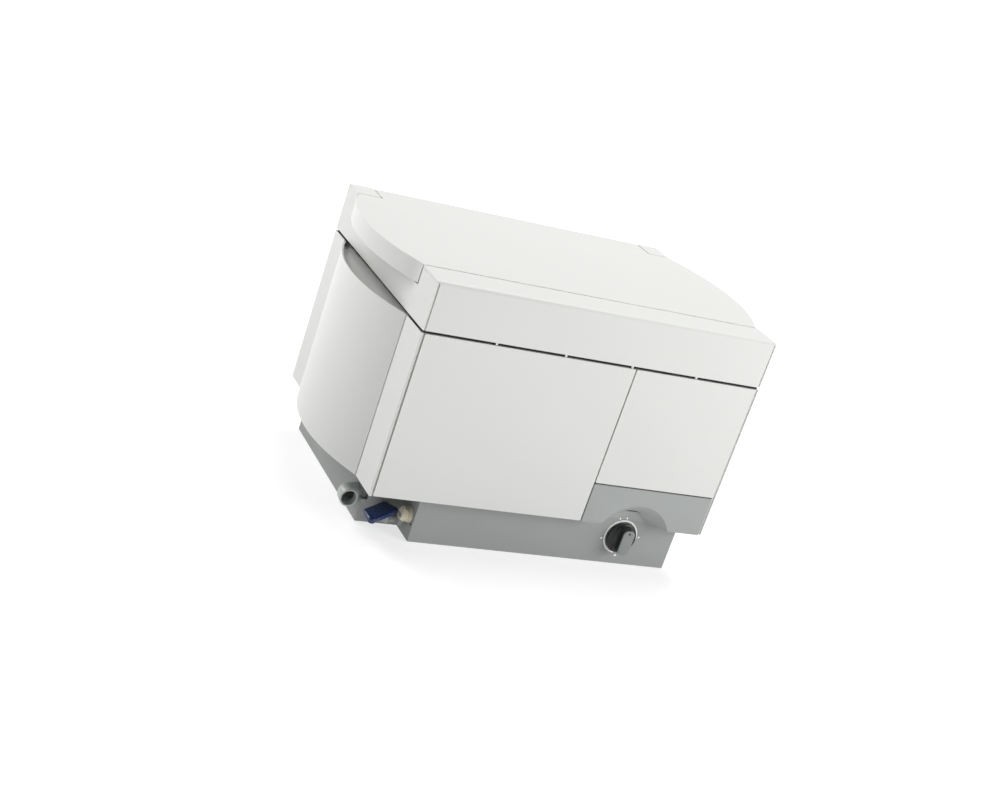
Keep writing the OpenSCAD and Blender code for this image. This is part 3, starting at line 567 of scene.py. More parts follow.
def turned(points: np.ndarray, angle_deg: float) -> np.ndarray:
    """Turns points about the third axis, x' = x cos a - y sin a and y' = x sin a + y cos a."""
    a = math.radians(angle_deg)
    return points @ np.array([[math.cos(a), math.sin(a), 0.0], [-math.sin(a), math.cos(a), 0.0],
                              [0.0, 0.0, 1.0]])


def bent(corners: Sequence[Sequence[float]], r: float, steps: int = 9) -> np.ndarray:
    """Path through corners, each rounded by a curve of reach r.

    Round a corner the point is (1-t)^2 a + 2t(1-t) c + t^2 b, between a and b on its two legs.

    Args:
        corners: The straight path's points.
        r: How far from a corner its bend starts.
        steps: Points in each bend.

    Returns:
        Points as an array of rows and 3.
    """
    c = np.array(corners, float)
    t = np.linspace(0.0, 1.0, steps)[:, None]
    path = [c[:1]]
    for before, here, after in zip(c[:-2], c[1:-1], c[2:]):
        a = here + (before - here) * r / np.linalg.norm(before - here)
        b = here + (after - here) * r / np.linalg.norm(after - here)
        path.append((1 - t) ** 2 * a + 2 * t * (1 - t) * here + t ** 2 * b)
    return np.concatenate([*path, c[-1:]])


def tube(path: np.ndarray, radius: np.ndarray, count: int = 32) -> np.ndarray:
    """Carries a circle along a path.

    Each circle lies square to the path. Its first direction is the last one's, less its part along
    the path, so that it never twists.

    Args:
        path: Points as an array of rows and 3.
        radius: The circle's radius at each point.
        count: Points round the circle.

    Returns:
        A grid of rows, columns and 3.
    """
    ahead = np.gradient(path, axis=0)
    ahead /= np.linalg.norm(ahead, axis=1)[:, None]
    side = np.cross(ahead[0], [0.0, 0.0, 1.0] if abs(ahead[0][2]) < 0.9 else [1.0, 0.0, 0.0])
    sides = []
    for direction in ahead:
        side = side - direction * side.dot(direction)
        side = side / np.linalg.norm(side)
        sides.append(side)
    first = np.array(sides)
    second = np.cross(ahead, first)
    angle = circle(count)[None, :, None]
    ring = first[:, None] * np.cos(angle) + second[:, None] * np.sin(angle)
    return path[:, None] + ring * np.asarray(radius, float)[:, None, None]


def closed(grid: np.ndarray) -> np.ndarray:
    """Closes both ends of a grid with a row at the end rows' centres."""
    ends = [np.repeat(grid[i].mean(0)[None, None], grid.shape[1], 1) for i in (0, -1)]
    return np.concatenate([ends[0], grid, ends[1]])


# ---------------------------------------------------------------- attaching pieces


def attach(piece: bpy.types.Object, body: str, nodes: Iterable[str] = ()) -> None:
    """Rides a piece on a body and the CAD nodes that it stands for."""
    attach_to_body(piece, body)
    if nodes:
        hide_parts(*nodes)
    LOG.info("%s rides on %s with %d faces", piece.name, body, len(piece.data.polygons))


def softened(node: str, width_mm: float, segments: int = 2, finish: str = "") -> None:
    """Stands a copy of a CAD node with rounded edges in its place.

    The copy's doubles are merged and its flat faces joined, then a Bevel modifier rounds its edges.

    Args:
        node: The CAD node.
        width_mm: Width of the rounding.
        segments: Facets across the rounding.
        finish: Its finish, if not its slot's.
    """
    mesh = frame["nodes"][node].data.copy()
    work = bmesh.new()
    work.from_mesh(mesh)
    bmesh.ops.remove_doubles(work, verts=work.verts, dist=2.0 * WELD_M)
    bmesh.ops.dissolve_degenerate(work, edges=work.edges, dist=WELD_M)
    bmesh.ops.dissolve_limit(work, angle_limit=math.radians(FLAT_DEG), verts=work.verts,
                             edges=work.edges)
    work.to_mesh(mesh)
    work.free()
    mesh.polygons.foreach_set("use_smooth", np.ones(len(mesh.polygons), bool))
    mesh.set_sharp_from_angle(angle=math.radians(CREASE_DEG))
    mesh.materials.clear()
    mesh.materials.append(PAINTS.get(finish or SLOT_OF[node]))
    piece = bpy.data.objects.new(f"{node}_soft", mesh)
    bpy.context.scene.collection.objects.link(piece)
    bevel = piece.modifiers.new("rounded edges", "BEVEL")
    bevel.width = width_mm * MM
    bevel.segments = segments
    bevel.limit_method = "ANGLE"
    bevel.angle_limit = math.radians(BEVEL_DEG)
    bevel.harden_normals = True
    attach(piece, BODY_OF[node], [node])


# ---------------------------------------------------------------- studio


@dataclass
class Studio:
    """Pale floor, soft lights and the camera."""

    eye: tuple[float, float, float] = (-0.8606, -1.5117, 0.7214)
    heading_deg: float = -29.22
    tilt_deg: float = -19.09
    roll_deg: float = 19.07
    lens_mm: float = 60.0
    sensor_mm: float = 36.0
    floor_half: float = 40.0
    target: tuple[float, float, float] = (0.0, 0.0, 0.15)
    sky: float = 0.2
    glow_near: float = 0.66
    glow_far: float = 1.0
    glow_from: float = 0.25
    glow_to: float = 1.2
    lamps: tuple[tuple[str, tuple[float, float, float], float, float], ...] = (
        ("key_rear_left", (-1.9, 2.3, 1.75), 1.4, 78.0),
        ("key_front_right", (1.5, -1.4, 0.8), 1.1, 31.5),
        ("top", (0.6, 0.7, 2.6), 1.6, 64.0))

    def floor(self) -> None:
        """Lays the pale floor, a grid of four quads."""
        side = np.linspace(-self.floor_half, self.floor_half, 3)
        x, y = np.meshgrid(side, side)
        shell = Shell().add(np.stack([x, y, np.zeros_like(x)], -1), round_columns=False)
        shell.object("floor", self.paper())

    def paper(self) -> bpy.types.Material:
        """Seamless white paper that glows: painted light, strong far out so that it stays evenly white,
        weaker near the middle as painted shade round and under the instrument.

        The glow rises from near to far over the share s of the way between two distances from the
        middle, as 3 s^2 - 2 s^3.
        """
        material = bpy.data.materials.new("white paper")
        material.use_nodes = True
        tree = material.node_tree
        tree.nodes.clear()
        place = add_node(tree, "ShaderNodeTexCoord").outputs["Object"]
        fibre = add_node(tree, "ShaderNodeTexNoise", {"Scale": 30.0}, {"Vector": place})
        rough = add_node(tree, "ShaderNodeMapRange", {"To Min": 0.85, "To Max": 0.95},
                         {"Value": fibre.outputs[0]})
        away = add_node(tree, "ShaderNodeVectorMath", {"operation": "LENGTH"}, {0: place})
        # Painted shade on the floor: the glow dims towards the middle, round and under the instrument.
        glow = add_node(tree, "ShaderNodeMapRange", {
            "interpolation_type": "SMOOTHSTEP", "From Min": self.glow_from, "From Max": self.glow_to,
            "To Min": self.glow_near, "To Max": self.glow_far}, {"Value": away.outputs["Value"]})
        shader = add_node(tree, "ShaderNodeBsdfPrincipled", {
            "Base Color": linear("#b4b4b4"), "Emission Color": (1.0, 1.0, 1.0, 1.0),
            "Specular IOR Level": 0.1},
            {"Roughness": rough.outputs[0], "Emission Strength": glow.outputs[0]})
        add_node(tree, "ShaderNodeOutputMaterial", links={"Surface": shader.outputs[0]})
        return material

    def lamp(self, name: str, place: Sequence[float], size: float, watts: float) -> None:
        """Hangs a square soft box that faces the instrument.

        Args:
            name: Its name.
            place: Where it hangs.
            size: Its side.
            watts: Its power.
        """
        light = bpy.data.lights.new(name, "AREA")
        light.shape = "SQUARE"
        light.size = size
        light.energy = watts
        box = bpy.data.objects.new(name, light)
        box.location = place
        box.rotation_euler = (Vector(self.target) - Vector(place)).to_track_quat("-Z", "Y").to_euler()
        bpy.context.scene.collection.objects.link(box)

    def world(self) -> None:
        """Sets an even white sky: dim as a fill light, and white where it is seen."""
        world = bpy.data.worlds.new("studio")
        world.use_nodes = True
        sky = world.node_tree.nodes["Background"]
        sky.inputs["Color"].default_value = (1.0, 1.0, 1.0, 1.0)
        seen = add_node(world.node_tree, "ShaderNodeLightPath").outputs["Is Camera Ray"]
        strength = add_node(world.node_tree, "ShaderNodeMapRange", {"To Min": self.sky, "To Max": 1.0},
                            {"Value": seen})
        world.node_tree.links.new(strength.outputs[0], sky.inputs["Strength"])
        bpy.context.scene.world = world

    def camera(self) -> None:
        """Stands the camera at the eye point."""
        lens = bpy.data.cameras.new("camera")
        lens.lens = self.lens_mm
        lens.sensor_width = self.sensor_mm
        lens.clip_end = 200.0
        camera = bpy.data.objects.new("camera", lens)
        heading = Matrix.Rotation(math.radians(self.heading_deg), 4, "Z")
        tilt = Matrix.Rotation(math.radians(90.0 + self.tilt_deg), 4, "X")
        roll = Matrix.Rotation(math.radians(self.roll_deg), 4, "Z")
        camera.matrix_world = Matrix.Translation(self.eye) @ heading @ tilt @ roll
        bpy.context.scene.collection.objects.link(camera)
        bpy.context.scene.camera = camera

    def build(self) -> None:
        """Sets up the whole studio."""
        self.camera()
        self.floor()
        self.world()
        for lamp in self.lamps:
            self.lamp(*lamp)
        bpy.context.scene.view_settings.view_transform = "Standard"
        LOG.info("studio is set up")


# ---------------------------------------------------------------- case


@dataclass
class Case:
    """Outer panels and the plates behind them, with folded edges rounded."""

    fold_mm: float = 0.7
    plate_mm: float = 0.35
    folded: tuple[str, ...] = (
        "left_door", "right_panel", "left_front_post", "right_front_post",
        "left_side_cover", "right_side_cover", "left_rear_post", "right_rear_post", "lid",
        "upper_front_cover", "upper_frame")
    flat: tuple[str, ...] = (
        "control_fascia", "rear_panel", "front_frame", "deck_plate", "chassis_plate",
        "sample_well", "slot_spacers", "corner_pillars", "monochromator_box", "monochromator_lid",
        "lamp_house", "power_supply", "detector", "cell_block", "fan_frame", "power_inlet",
        "power_rocker", "panel_screws", "door_lugs", "dial_bush", "grating_mount", "mirror_bracket",
        "slot_trim", "front_bumper", "hinge_pins", "door_pins", "dial_shaft", "grating_shaft")
    fine_mm: float = 0.15
    fine: tuple[str, ...] = (
        "dial_pinion", "sector_gear", "inlet_pins", "slit_plates", "mirrors", "grating", "flow_cell")

    def build(self) -> None:
        """Rounds every panel and plate."""
        for node in self.folded:
            softened(node, self.fold_mm)
        # The base takes the darker grey: painted shade under the overhang.
        softened("base_tub", self.fold_mm, finish="tub")
        for node in self.flat:
            softened(node, self.plate_mm)
        for node in self.fine:
            softened(node, self.fine_mm, 1)


# ---------------------------------------------------------------- controls at the front


@dataclass
class Dial:
    """Wavelength knob: flared skirt, bar handle, grey cap and its index dot. Sizes in millimetres."""

    skirt_r: float = 17.7
    skirt_h: float = 6.0
    rim_h: float = 3.4
    flare_w: float = 9.0
    bar_half_w: float = 7.5
    bar_half_h: float = 15.6
    bar_corner: float = 6.0
    bar_h: float = 13.5
    bar_foot: float = 4.2
    bar_flare: float = 1.9
    bar_edge: float = 0.6
    cap_h: float = 1.2
    cap_crown: float = 0.3
    dot_r: float = 1.35
    dot_up: float = 11.5

    def middle(self) -> np.ndarray:
        """Returns the knob's back, on its axis."""
        low, high = np.array(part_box("dial_knob")) / MM
        return np.array([(low[0] + high[0]) / 2.0, high[1], (low[2] + high[2]) / 2.0])

    def knob(self) -> None:
        """Turns the skirt, hollow from its rim to the bar, and stands the bar on it.

        Between the rim and the bar the skirt's height rises as the square of the way inwards. The
        bar widens towards its foot as the cube of the way down.
        """
        r, rim = self.skirt_r, self.rim_h
        way = np.linspace(0.0, 1.0, 9)
        flare = zip(rim + (self.skirt_h - rim) * way ** 2, r - 1.3 - self.flare_w * way)
        profile = [(0.0, 0.0), (0.0, r - 0.6), (0.3, r - 0.1), (0.7, r), (rim - 0.7, r),
                   (rim - 0.2, r - 0.3), (rim, r - 0.8), *flare, (self.skirt_h, 0.0)]
        shell = Shell().add(Facing.FRONT.place(revolve(profile, 96), self.middle()))
        lift = np.linspace(0.0, 1.0, 7)
        turn = np.linspace(0.0, math.pi / 2.0, 5)[1:]
        edge, foot = self.bar_edge, self.bar_foot
        insets = np.concatenate([0.5 - self.bar_flare * (1.0 - lift) ** 3 + 0.3 * lift,
                                 0.8 + edge * (1.0 - np.cos(turn))])
        heights = np.concatenate([foot + (self.bar_h - edge - foot) * lift ** 1.6,
                                  self.bar_h - edge + edge * np.sin(turn)])
        bar = Outline.rectangle(self.bar_half_w, self.bar_half_h, self.bar_corner)
        shell.add(Facing.FRONT.place(bar.stack(insets, heights), self.middle()))
        shell.fit("wavelength_knob", "dial", "black_plastic", ["dial_knob"])

    def cap(self) -> None:
        """Lays the crowned cap on the bar and the dot near its top end."""
        foot = self.middle() - [0.0, self.bar_h, 0.0]
        plan = Outline.rectangle(self.bar_half_w - 0.5, self.bar_half_h - 0.6, self.bar_corner - 0.5)
        shell = Shell().add(Facing.FRONT.place(plan.pillow(self.cap_h, 0.5, self.cap_crown), foot))
        shell.fit("knob_cap", "dial", "grey_plastic", ["dial_cap"], "cap")
        dot = revolve([(0.6, 0.0), (0.6, self.dot_r), (1.4, self.dot_r), (1.5, self.dot_r - 0.2),
                       (1.36, 0.0)], 32)
        shell = Shell().add(Facing.FRONT.place(dot, foot + [0.0, 0.0, self.dot_up]))
        shell.fit("knob_dot", "dial", "black_plastic")

    def build(self) -> None:
        """Makes the knob and its cap."""
        self.knob()
        self.cap()


@dataclass
class Tap:
    """Sample tap in the niche: finned nylon barrel, neck, boss and paddle lever. Millimetres."""

    wall_x: float = -134.0
    barrel_y: float = -111.5
    barrel_z: float = 26.0
    barrel_r: float = 7.0
    barrel_l: float = 11.0
    fins: int = 3
    fin_from: float = 3.2
    fin_pitch: float = 2.4
    fin_r: float = 8.2
    flange_r: float = 8.6
    pivot: tuple[float, float] = (-156.5, -103.0)
    neck_z: float = 15.5
    neck_r: float = 4.0
    neck_reach: tuple[float, float] = (6.1, 18.0)
    web_half: tuple[float, float] = (5.7, 6.7)
    web_l: float = 4.8
    web_at: tuple[float, float] = (-108.8, 19.3)
    boss_top: float = 21.7
    boss_r: float = 5.5
    lever_turn: float = 38.0
    lever_corners: tuple[tuple[float, float], ...] = (
        (39.4, 6.0), (-4.0, 6.0), (-4.0, -6.0), (30.1, -6.0))
    lever_corner_r: float = 4.0
    lever_end_deg: float = -37.8
    lever_edge: float = 1.5
    lever_z: tuple[float, float] = (22.0, 28.0)
    stem_r: float = 3.0
    stem_z: float = 14.6
    rim_r: float = 6.6

    def barrel(self) -> np.ndarray:
        """Profile of the barrel: stub, flange, three fins and a rounded end."""
        wide, r, flange = self.fin_r, self.barrel_r, self.flange_r
        profile = [(-12.0, 0.0), (-12.0, 4.6), (-10.5, 5.9), (-9.0, 5.9), (-8.7, 5.2), (-7.5, 5.8),
                   (0.0, 6.0), (0.0, flange - 0.3), (0.3, flange), (1.5, flange), (2.0, flange - 0.5),
                   (2.0, r + 0.4), (2.3, r)]
        for fin in range(self.fins):
            start = self.fin_from + self.fin_pitch * fin
            profile += [(start + ahead, radius) for ahead, radius in (
                (0.0, r), (0.05, wide - 0.3), (0.3, wide), (0.9, wide), (1.15, wide - 0.3), (1.2, r))]
        profile += fillet(self.barrel_l, r, 1.2)
        profile += [(self.barrel_l, 4.2), (self.barrel_l - 0.6, 3.8), (self.barrel_l - 0.6, 0.0)]
        return revolve(profile, 72)

    def body(self) -> None:
        """Makes the barrel and, in grey, the neck with the bored boss that carries the lever."""
        shell = Shell().add(Facing.LEFT.place(self.barrel(), (self.wall_x, self.barrel_y, self.barrel_z)))
        shell.fit("tap_barrel", "case", "cream_plastic", ["tap_body"])
        near, far = self.neck_reach
        neck = revolve([(near, 0.0), (near, self.neck_r), (far, self.neck_r), (far, 0.0)], 40)
        shell = Shell().add(Facing.LEFT.place(neck, (self.wall_x, self.pivot[1], self.neck_z)))
        web = Outline.rectangle(*self.web_half, 2.0).pillow(self.web_l, 0.4, both=True)
        shell.add(Facing.LEFT.place(web, (self.wall_x - near, *self.web_at)))
        low, high, r = self.neck_z - 4.5, self.boss_top, self.boss_r
        bore, bore_low = self.stem_r + 0.05, self.neck_z - 2.0
        boss = [(bore_low, 0.0), (bore_low, bore), (high, bore), (high, r - 0.6), (high - 0.2, r - 0.2),
                (high - 0.6, r), (low + 0.9, r), (low + 0.25, r - 0.3), (low, r - 0.9), (low, 0.0)]
        shell.add(Facing.UP.place(revolve(boss, 56), (*self.pivot, 0.0)))
        # The neck takes the base's darker grey: painted shade in the niche under the lever.
        shell.fit("tap_neck", "case", "grey_plastic", finish="tub")

    def lever(self) -> None:
        """Moulds the paddle: a slab with soft edges, a low round boss over the pivot, and its stem."""
        (low, high), foot, r = self.lever_z, self.stem_z, self.stem_r
        plan = Outline(self.lever_corners, self.lever_corner_r, self.lever_end_deg)
        slab = turned(plan.pillow(high - low, self.lever_edge, both=True), 180.0 + self.lever_turn)
        stem = revolve([(foot, 0.0), (foot, r - 0.4), (foot + 0.4, r), (low + 1.0, r), (low + 1.0, 0.0)], 32)
        rim = Outline.rectangle(self.rim_r, self.rim_r, self.rim_r - 0.1).pillow(0.4, 0.3)
        shell = Shell().add(Facing.UP.place(slab, (*self.pivot, low)))
        shell.add(Facing.UP.place(stem, (*self.pivot, 0.0)))
        shell.add(Facing.UP.place(rim, (*self.pivot, high - 0.2)))
        shell.fit("tap_paddle", "tap", "blue_plastic", ["tap_lever"])

    def build(self) -> None:
        """Makes both parts of the tap."""
        self.body()
        self.lever()


@dataclass
class Drain:
    """Drain elbow through the base's left wall, and its nut inside. Millimetres."""

    mouth: tuple[float, float, float] = (-196.0, -91.5, 26.4)
    leg: float = 8.0
    bend: float = 10.0
    inner_end: float = -170.0
    outer_r: float = 9.3
    ring_r: float = 9.8
    ring_l: float = 4.0
    bore_r: float = 7.9
    nut_r: float = 12.0
    nut_x: float = -179.0
    nut_h: float = 5.0

    def path(self, along: np.ndarray) -> np.ndarray:
        """Returns points at distances from the mouth: leg, quarter bend of radius bend, then the stub."""
        x, y, z = self.mouth
        arc = self.bend * math.pi / 2.0
        turn = np.clip((along - self.leg) / self.bend, 0.0, math.pi / 2.0)
        past = np.maximum(along - self.leg - arc, 0.0)
        return np.stack([x + self.bend * (1.0 - np.cos(turn)) + past,
                         y + np.minimum(along, self.leg) + self.bend * np.sin(turn),
                         np.full_like(along, z)], -1)

    def elbow(self) -> None:
        """Sweeps the outside from mouth to end and the bore back, as one closed skin."""
        arc = self.bend * math.pi / 2.0
        length = self.leg + arc + self.inner_end - self.mouth[0] - self.bend
        bend = np.linspace(self.leg, self.leg + arc, 17)
        ring = [0.0, 0.15, 0.5, self.ring_l - 0.6, self.ring_l - 0.15, self.ring_l + 0.1]
        out = np.array([*ring, *bend, length - 0.5, length])
        radius = np.full(out.shape, self.outer_r)
        radius[:5] = self.ring_r - np.array([0.55, 0.15, 0.0, 0.0, 0.15])
        radius[-1] -= 0.5
        back = np.array([length, *bend[::-1], 1.0, 0.3, 0.0])
        bore = np.full(back.shape, self.bore_r)
        bore[-2:] += [0.15, 0.5]
        outside = tube(self.path(out), radius, 64)
        inside = tube(self.path(back[::-1]), bore[::-1], 64)[::-1]
        shell = Shell().add(Facing.UP.place(np.concatenate([outside, inside])), round_rows=True)
        shell.fit("drain_bend", "case", "light_grey_plastic", ["drain_elbow"])

    def nut(self) -> None:
        """Cuts the nut: its radius is the lesser of the hexagon's and a 30 degree chamfer's.

        The hexagon's radius at angle a is its apothem over cos(a'), a' measured from the nearest flat.
        """
        angle, half_side, top = circle(96), math.pi / 6.0, self.nut_h
        flat = (angle + 2.0 * half_side) % (2.0 * half_side) - half_side
        hexagon = self.nut_r * math.cos(half_side) / np.cos(flat)
        height = np.array([0.0, 0.0, 0.35, 0.8, top - 0.8, top - 0.35, top, top])
        room = self.nut_r - 1.25 + 1.73 * np.minimum(height, top - height)
        radius = np.minimum(hexagon[None], room[:, None])
        radius[[0, -1]] = self.outer_r + 0.05
        grid = np.stack([radius * np.cos(angle), radius * np.sin(angle),
                         np.repeat(height[:, None], angle.size, 1)], -1)
        place = (self.nut_x, self.mouth[1] + self.leg + self.bend, self.mouth[2])
        shell = Shell().add(Facing.RIGHT.place(grid, place), round_rows=True)
        shell.fit("drain_locknut", "case", "light_grey_plastic", ["drain_nut"], smooth_deg=20.0)

    def build(self) -> None:
        """Makes elbow and nut."""
        self.elbow()
        self.nut()


@dataclass
class SoftTrim:
    """Feet, lid seal and sample tubes. Millimetres."""

    foot_x: float = 162.0
    foot_ys: tuple[float, float] = (-70.5, 107.5)
    foot_profile: tuple[tuple[float, float], ...] = (
        (0.0, 0.0), (0.0, 9.3), (0.15, 9.8), (0.4, 10.0), (1.0, 10.0), (1.0, 2.4), (4.2, 2.4), (4.2, 3.3),
        (5.0, 3.3), (6.2, 2.0), (6.2, 0.0))
    seal_half: tuple[float, float] = (126.0, 90.0)
    seal_y: float = 8.5
    seal_w: float = 4.0
    seal_z: tuple[float, float] = (264.5, 268.1)
    seal_corner: float = 6.0
    bulb_h: float = 2.2
    tube_r: float = 3.0
    tube_wall: float = 0.8
    tube_bend: float = 6.0
    routes: tuple[tuple[tuple[float, float, float], ...], ...] = (
        ((-126.0, -111.5, 26.0), (-116.0, -111.5, 26.0), (-116.0, -21.5, 26.0), (-116.0, -21.5, 184.0),
         (-100.0, -21.5, 184.0)),
        ((-60.0, -21.5, 178.0), (-60.0, -21.5, 26.4), (-60.0, -73.5, 26.4), (-169.8, -73.5, 26.4)))

    def feet(self) -> None:
        """Pushes four rubber feet into the base."""
        shell = Shell()
        foot = revolve(self.foot_profile, 48)
        for x in (-self.foot_x, self.foot_x):
            for y in self.foot_ys:
                shell.add(Facing.UP.place(foot, (x, y, 0.0)))
        shell.fit("rubber_feet", "case", "rubber", ["feet"])

    def seal(self) -> None:
        """Runs a bulb section round the well: (inset, height) for each point of the section."""
        low, high = self.seal_z
        turn = np.linspace(0.0, math.pi, 13)
        half = self.seal_w / 2.0
        inset = np.concatenate([[0.0, 0.0], half - half * np.cos(turn), [self.seal_w, self.seal_w]])
        height = np.concatenate([[low, low + 0.6], high - self.bulb_h + self.bulb_h * np.sin(turn),
                                 [low + 0.6, low]])
        rings = Outline.rectangle(*self.seal_half, self.seal_corner).rows(inset, height)
        shell = Shell().add(Facing.UP.place(rings, (0.0, self.seal_y, 0.0)), round_rows=True)
        shell.fit("bulb_seal", "case", "rubber", ["lid_seal"])

    def tubes(self) -> None:
        """Lays two hollow tubes, from the tap to the well and from the well to the drain."""
        shell = Shell()
        for corners in self.routes:
            path = bent(corners, self.tube_bend)
            wide = tube(path, np.full(len(path), self.tube_r), 24)
            bore = tube(path, np.full(len(path), self.tube_r - self.tube_wall), 24)[::-1]
            shell.add(Facing.UP.place(np.concatenate([wide, bore])), round_rows=True)
        shell.fit("silicone_tubes", "case", "tube", ["sample_tubes"])

    def build(self) -> None:
        """Makes the soft pieces."""
        self.feet()
        self.seal()
        self.tubes()


# ---------------------------------------------------------------- works inside


@dataclass
class Fan:
    """Fan rotor: a hub and seven twisted blades. Millimetres."""

    axis: tuple[float, float, float] = (-95.0, 121.5, 150.0)
    hub_r: float = 13.0
    hub_h: float = 16.0
    tip_r: float = 34.6
    blades: int = 7
    chord: float = 16.0
    pitch_deg: tuple[float, float] = (48.0, 28.0)
    thick: float = 1.3
    sweep: float = 0.25

    def blade(self) -> np.ndarray:
        """One blade as a closed skin.

        The section at share u from hub to tip is an ellipse, (chord (0.42 + 0.1 u) cos v,
        thick / 2 (1 - 0.35 u) sin v), turned by the pitch at u and wrapped round the axis.
        """
        u = np.linspace(0.0, 1.0, 12)[:, None]
        v = circle(20)[None, :]
        radius = self.hub_r - 1.0 + (self.tip_r - self.hub_r + 1.0) * u
        pitch = np.radians(self.pitch_deg[0] + (self.pitch_deg[1] - self.pitch_deg[0]) * u)
        along = np.cos(v) * self.chord * (0.42 + 0.1 * u)
        across = np.sin(v) * self.thick / 2.0 * (1.0 - 0.35 * u)
        sideways = along * np.cos(pitch) - across * np.sin(pitch)
        ahead = along * np.sin(pitch) + across * np.cos(pitch)
        turn = sideways / radius + self.sweep * u
        return closed(np.stack([radius * np.cos(turn), radius * np.sin(turn), ahead + self.hub_h / 2.0], -1))

    def build(self) -> None:
        """Joins hub and blades."""
        r, top = self.hub_r, self.hub_h
        hub = revolve([(0.0, 0.0), (0.0, r - 1.6), (0.15, r - 0.9), (0.6, r - 0.3), (1.4, r), (top, r),
                       (top, 5.0), (top - 1.0, 4.4), (top - 1.0, 0.0)], 56)
        shell = Shell().add(Facing.REAR.place(hub, self.axis))
        for i in range(self.blades):
            shell.add(Facing.REAR.place(turned(self.blade(), 360.0 * i / self.blades), self.axis))
        shell.fit("fan_impeller", "fan", "black_plastic", ["fan_rotor"])


@dataclass
class Lamp:
    """Halogen lamp: ceramic foot, glass envelope and a coiled filament. Millimetres."""

    axis: tuple[float, float] = (26.0, 8.5)
    foot_z: tuple[float, float] = (62.0, 76.0)
    foot_r: float = 8.0
    bulb_r: float = 6.0
    glass_w: float = 0.7
    bulb_top: float = 102.2
    coil_z: float = 90.2
    coil_half: float = 3.2
    coil_r: float = 1.2
    turns: int = 9
    wire_r: float = 0.18

    def build(self) -> None:
        """Makes foot, envelope and filament, a helix of the given turns between two upright legs."""
        origin = (*self.axis, 0.0)
        (low, high), r, neck = self.foot_z, self.foot_r, self.foot_r - 0.8
        foot = revolve([(low, 0.0), (low, r - 0.6), (low + 0.6, r), (high - 3.0, r), (high - 2.4, neck),
                        (high - 0.5, neck), (high, neck - 0.6), (high, 0.0)], 40)
        Shell().add(Facing.UP.place(foot, origin)).fit("lamp_foot", "case", "cream_plastic")
        dome = fillet(self.bulb_top, self.bulb_r, self.bulb_r, steps=10)
        inner = [(h - 0.8, max(r - self.glass_w, 0.0)) for h, r in dome]
        glass = revolve([(high, self.bulb_r), *dome[:-1], (self.bulb_top, 0.0), (self.bulb_top - 0.8, 0.0),
                         *inner[::-1][1:], (high, self.bulb_r - self.glass_w)], 40)
        shell = Shell().add(Facing.UP.place(glass, origin), round_rows=True)
        shell.fit("lamp_envelope", "case", "glass", ["lamp"])
        t = np.linspace(0.0, 1.0, 24 * self.turns)
        angle = TURN * self.turns * t
        coil = np.stack([self.coil_r * np.cos(angle), (2.0 * t - 1.0) * self.coil_half,
                         self.coil_z + self.coil_r * np.sin(angle)], -1)
        ends = [np.array([[self.coil_r, s * self.coil_half, high - 0.5]]) for s in (-1.0, 1.0)]
        path = np.concatenate([ends[0], coil, ends[1]])
        wire = closed(tube(path, np.full(len(path), self.wire_r), 6))
        shell = Shell().add(Facing.UP.place(wire, origin))
        shell.fit("lamp_filament", "case", "bright_steel", finish="filament")


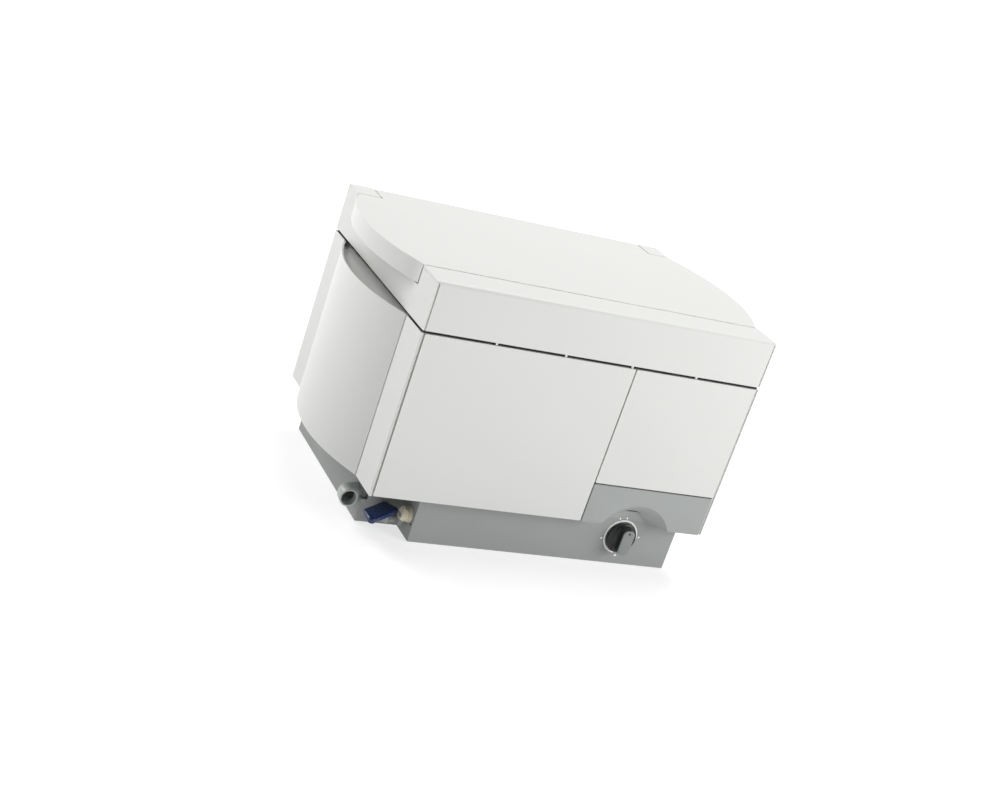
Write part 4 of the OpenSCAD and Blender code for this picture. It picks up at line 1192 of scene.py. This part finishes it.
@dataclass
class Board:
    """Control board: lacquered plate, standoffs, packages with legs, cans and a header. Millimetres."""

    low: tuple[float, float] = (-170.0, 16.5)
    high: tuple[float, float] = (-20.0, 111.5)
    z: tuple[float, float] = (66.0, 67.6)
    stand_z: float = 58.0
    stand_in: float = 6.0
    chip_xs: tuple[float, ...] = (-141.0, -109.0, -77.0, -45.0)
    chip_y: float = 45.5
    chip_half: float = 9.0
    legs: int = 7
    pitch: float = 2.54
    leg_r: float = 0.25
    cans: tuple[tuple[float, float, float, float], ...] = (
        (-96.0, 88.0, 5.0, 12.0), (-82.0, 88.0, 5.0, 12.0), (-66.0, 90.0, 4.0, 9.0), (-54.0, 90.0, 4.0, 9.0))
    header_at: tuple[float, float] = (-135.0, 91.5)
    header_half: tuple[float, float] = (25.0, 6.0)
    header_wall: float = 1.2
    header_h: float = 10.0

    def plate(self) -> None:
        """Cuts the plate and turns its standoffs."""
        low, high = np.array(self.low), np.array(self.high)
        foot, top = self.z
        plate = Outline.rectangle(*(high - low) / 2.0, 2.0).pillow(top - foot, 0.15)
        shell = Shell().add(Facing.UP.place(plate, (*(high + low) / 2.0, foot)))
        shell.fit("board_plate", "case", "board", ["main_board"])
        shell = Shell()
        post = revolve([(self.stand_z, 0.0), (self.stand_z, 3.0), (foot, 3.0), (foot, 0.0)], 6)
        for x in (low[0] + self.stand_in, high[0] - self.stand_in):
            for y in (low[1] + self.stand_in, high[1] - self.stand_in):
                shell.add(Facing.UP.place(post, (x, y, 0.0)))
        shell.fit("board_standoffs", "case", "bright_steel", finish="tin", smooth_deg=20.0)

    def packages(self) -> None:
        """Sets the packages and, along two sides of each, bent legs one pitch apart."""
        bodies, legs = Shell(), Shell()
        top = self.z[1]
        body = Outline.rectangle(self.chip_half, self.chip_half, 0.6).stack([0.5, 0.0, 0.5], [0.0, 1.0, 2.0])
        bends = np.array([(-0.4, 0.0, 1.3), (0.6, 0.0, 1.3), (1.0, 0.0, 0.2), (2.0, 0.0, 0.1)])
        for x in self.chip_xs:
            bodies.add(Facing.UP.place(body, (x, self.chip_y, top + 0.3)))
            for side in (-1.0, 1.0):
                path = (bends + [self.chip_half, 0.0, 0.0]) * [side, 1.0, 1.0]
                leg = closed(tube(path, np.full(len(path), self.leg_r), 4))
                for i in range(self.legs):
                    y = self.chip_y + (i - (self.legs - 1) / 2.0) * self.pitch
                    legs.add(Facing.UP.place(leg, (x, y, top)))
        bodies.fit("board_packages", "case", "black_plastic", finish="chip")
        legs.fit("board_legs", "case", "bright_steel", finish="tin")

    def upright(self) -> None:
        """Stands the cans, each with a scored, slightly sunk top, and the header."""
        shell = Shell()
        for x, y, r, h in self.cans:
            can = revolve([(0.0, 0.0), (0.0, r - 0.3), (0.3, r), (1.4, r), (1.8, r - 0.35), (2.3, r),
                           (h - 0.4, r), (h, r - 0.4), (h, r - 0.9), (h - 0.3, r - 1.1), (h - 0.3, 0.0)], 32)
            shell.add(Facing.UP.place(can, (x, y, self.z[1])))
        shell.fit("board_cans", "case", "blue_plastic", finish="can")
        half = np.array(self.header_half)
        ring = np.array([(-1, -1), (1, -1), (1, 1), (-1, 1)]) * half
        inner = ring * (1.0 - self.header_wall / half)
        rows = [(ring, 0.0), (ring, self.header_h), (inner, self.header_h), (inner, 3.0), (ring * 0.0, 3.0)]
        grid = closed(np.stack([np.insert(plan, 2, height, axis=1) for plan, height in rows]))
        shell = Shell().add(Facing.UP.place(grid, (*self.header_at, self.z[1])))
        shell.fit("board_header", "case", "cream_plastic")

    def build(self) -> None:
        """Makes the board and everything on it."""
        self.plate()
        self.packages()
        self.upright()


def paint_frame() -> None:
    """Gives every CAD node the material of its slot."""
    for name, node in frame["nodes"].items():
        if not node.data.materials:
            node.data.materials.append(None)
        for slot in node.material_slots:
            slot.material = PAINTS.get(SLOT_OF[name])


def main() -> None:
    """Builds the studio and the instrument's sub-assemblies in order."""
    logging.basicConfig(level=logging.INFO, format="%(name)s: %(message)s")
    paint_frame()
    for assembly in (Studio(), Case(), Dial(), Tap(), Drain(), SoftTrim(), Fan(), Lamp(), Board()):
        assembly.build()
        LOG.info("%s built", type(assembly).__name__)


if __name__ == "__main__":
    main()
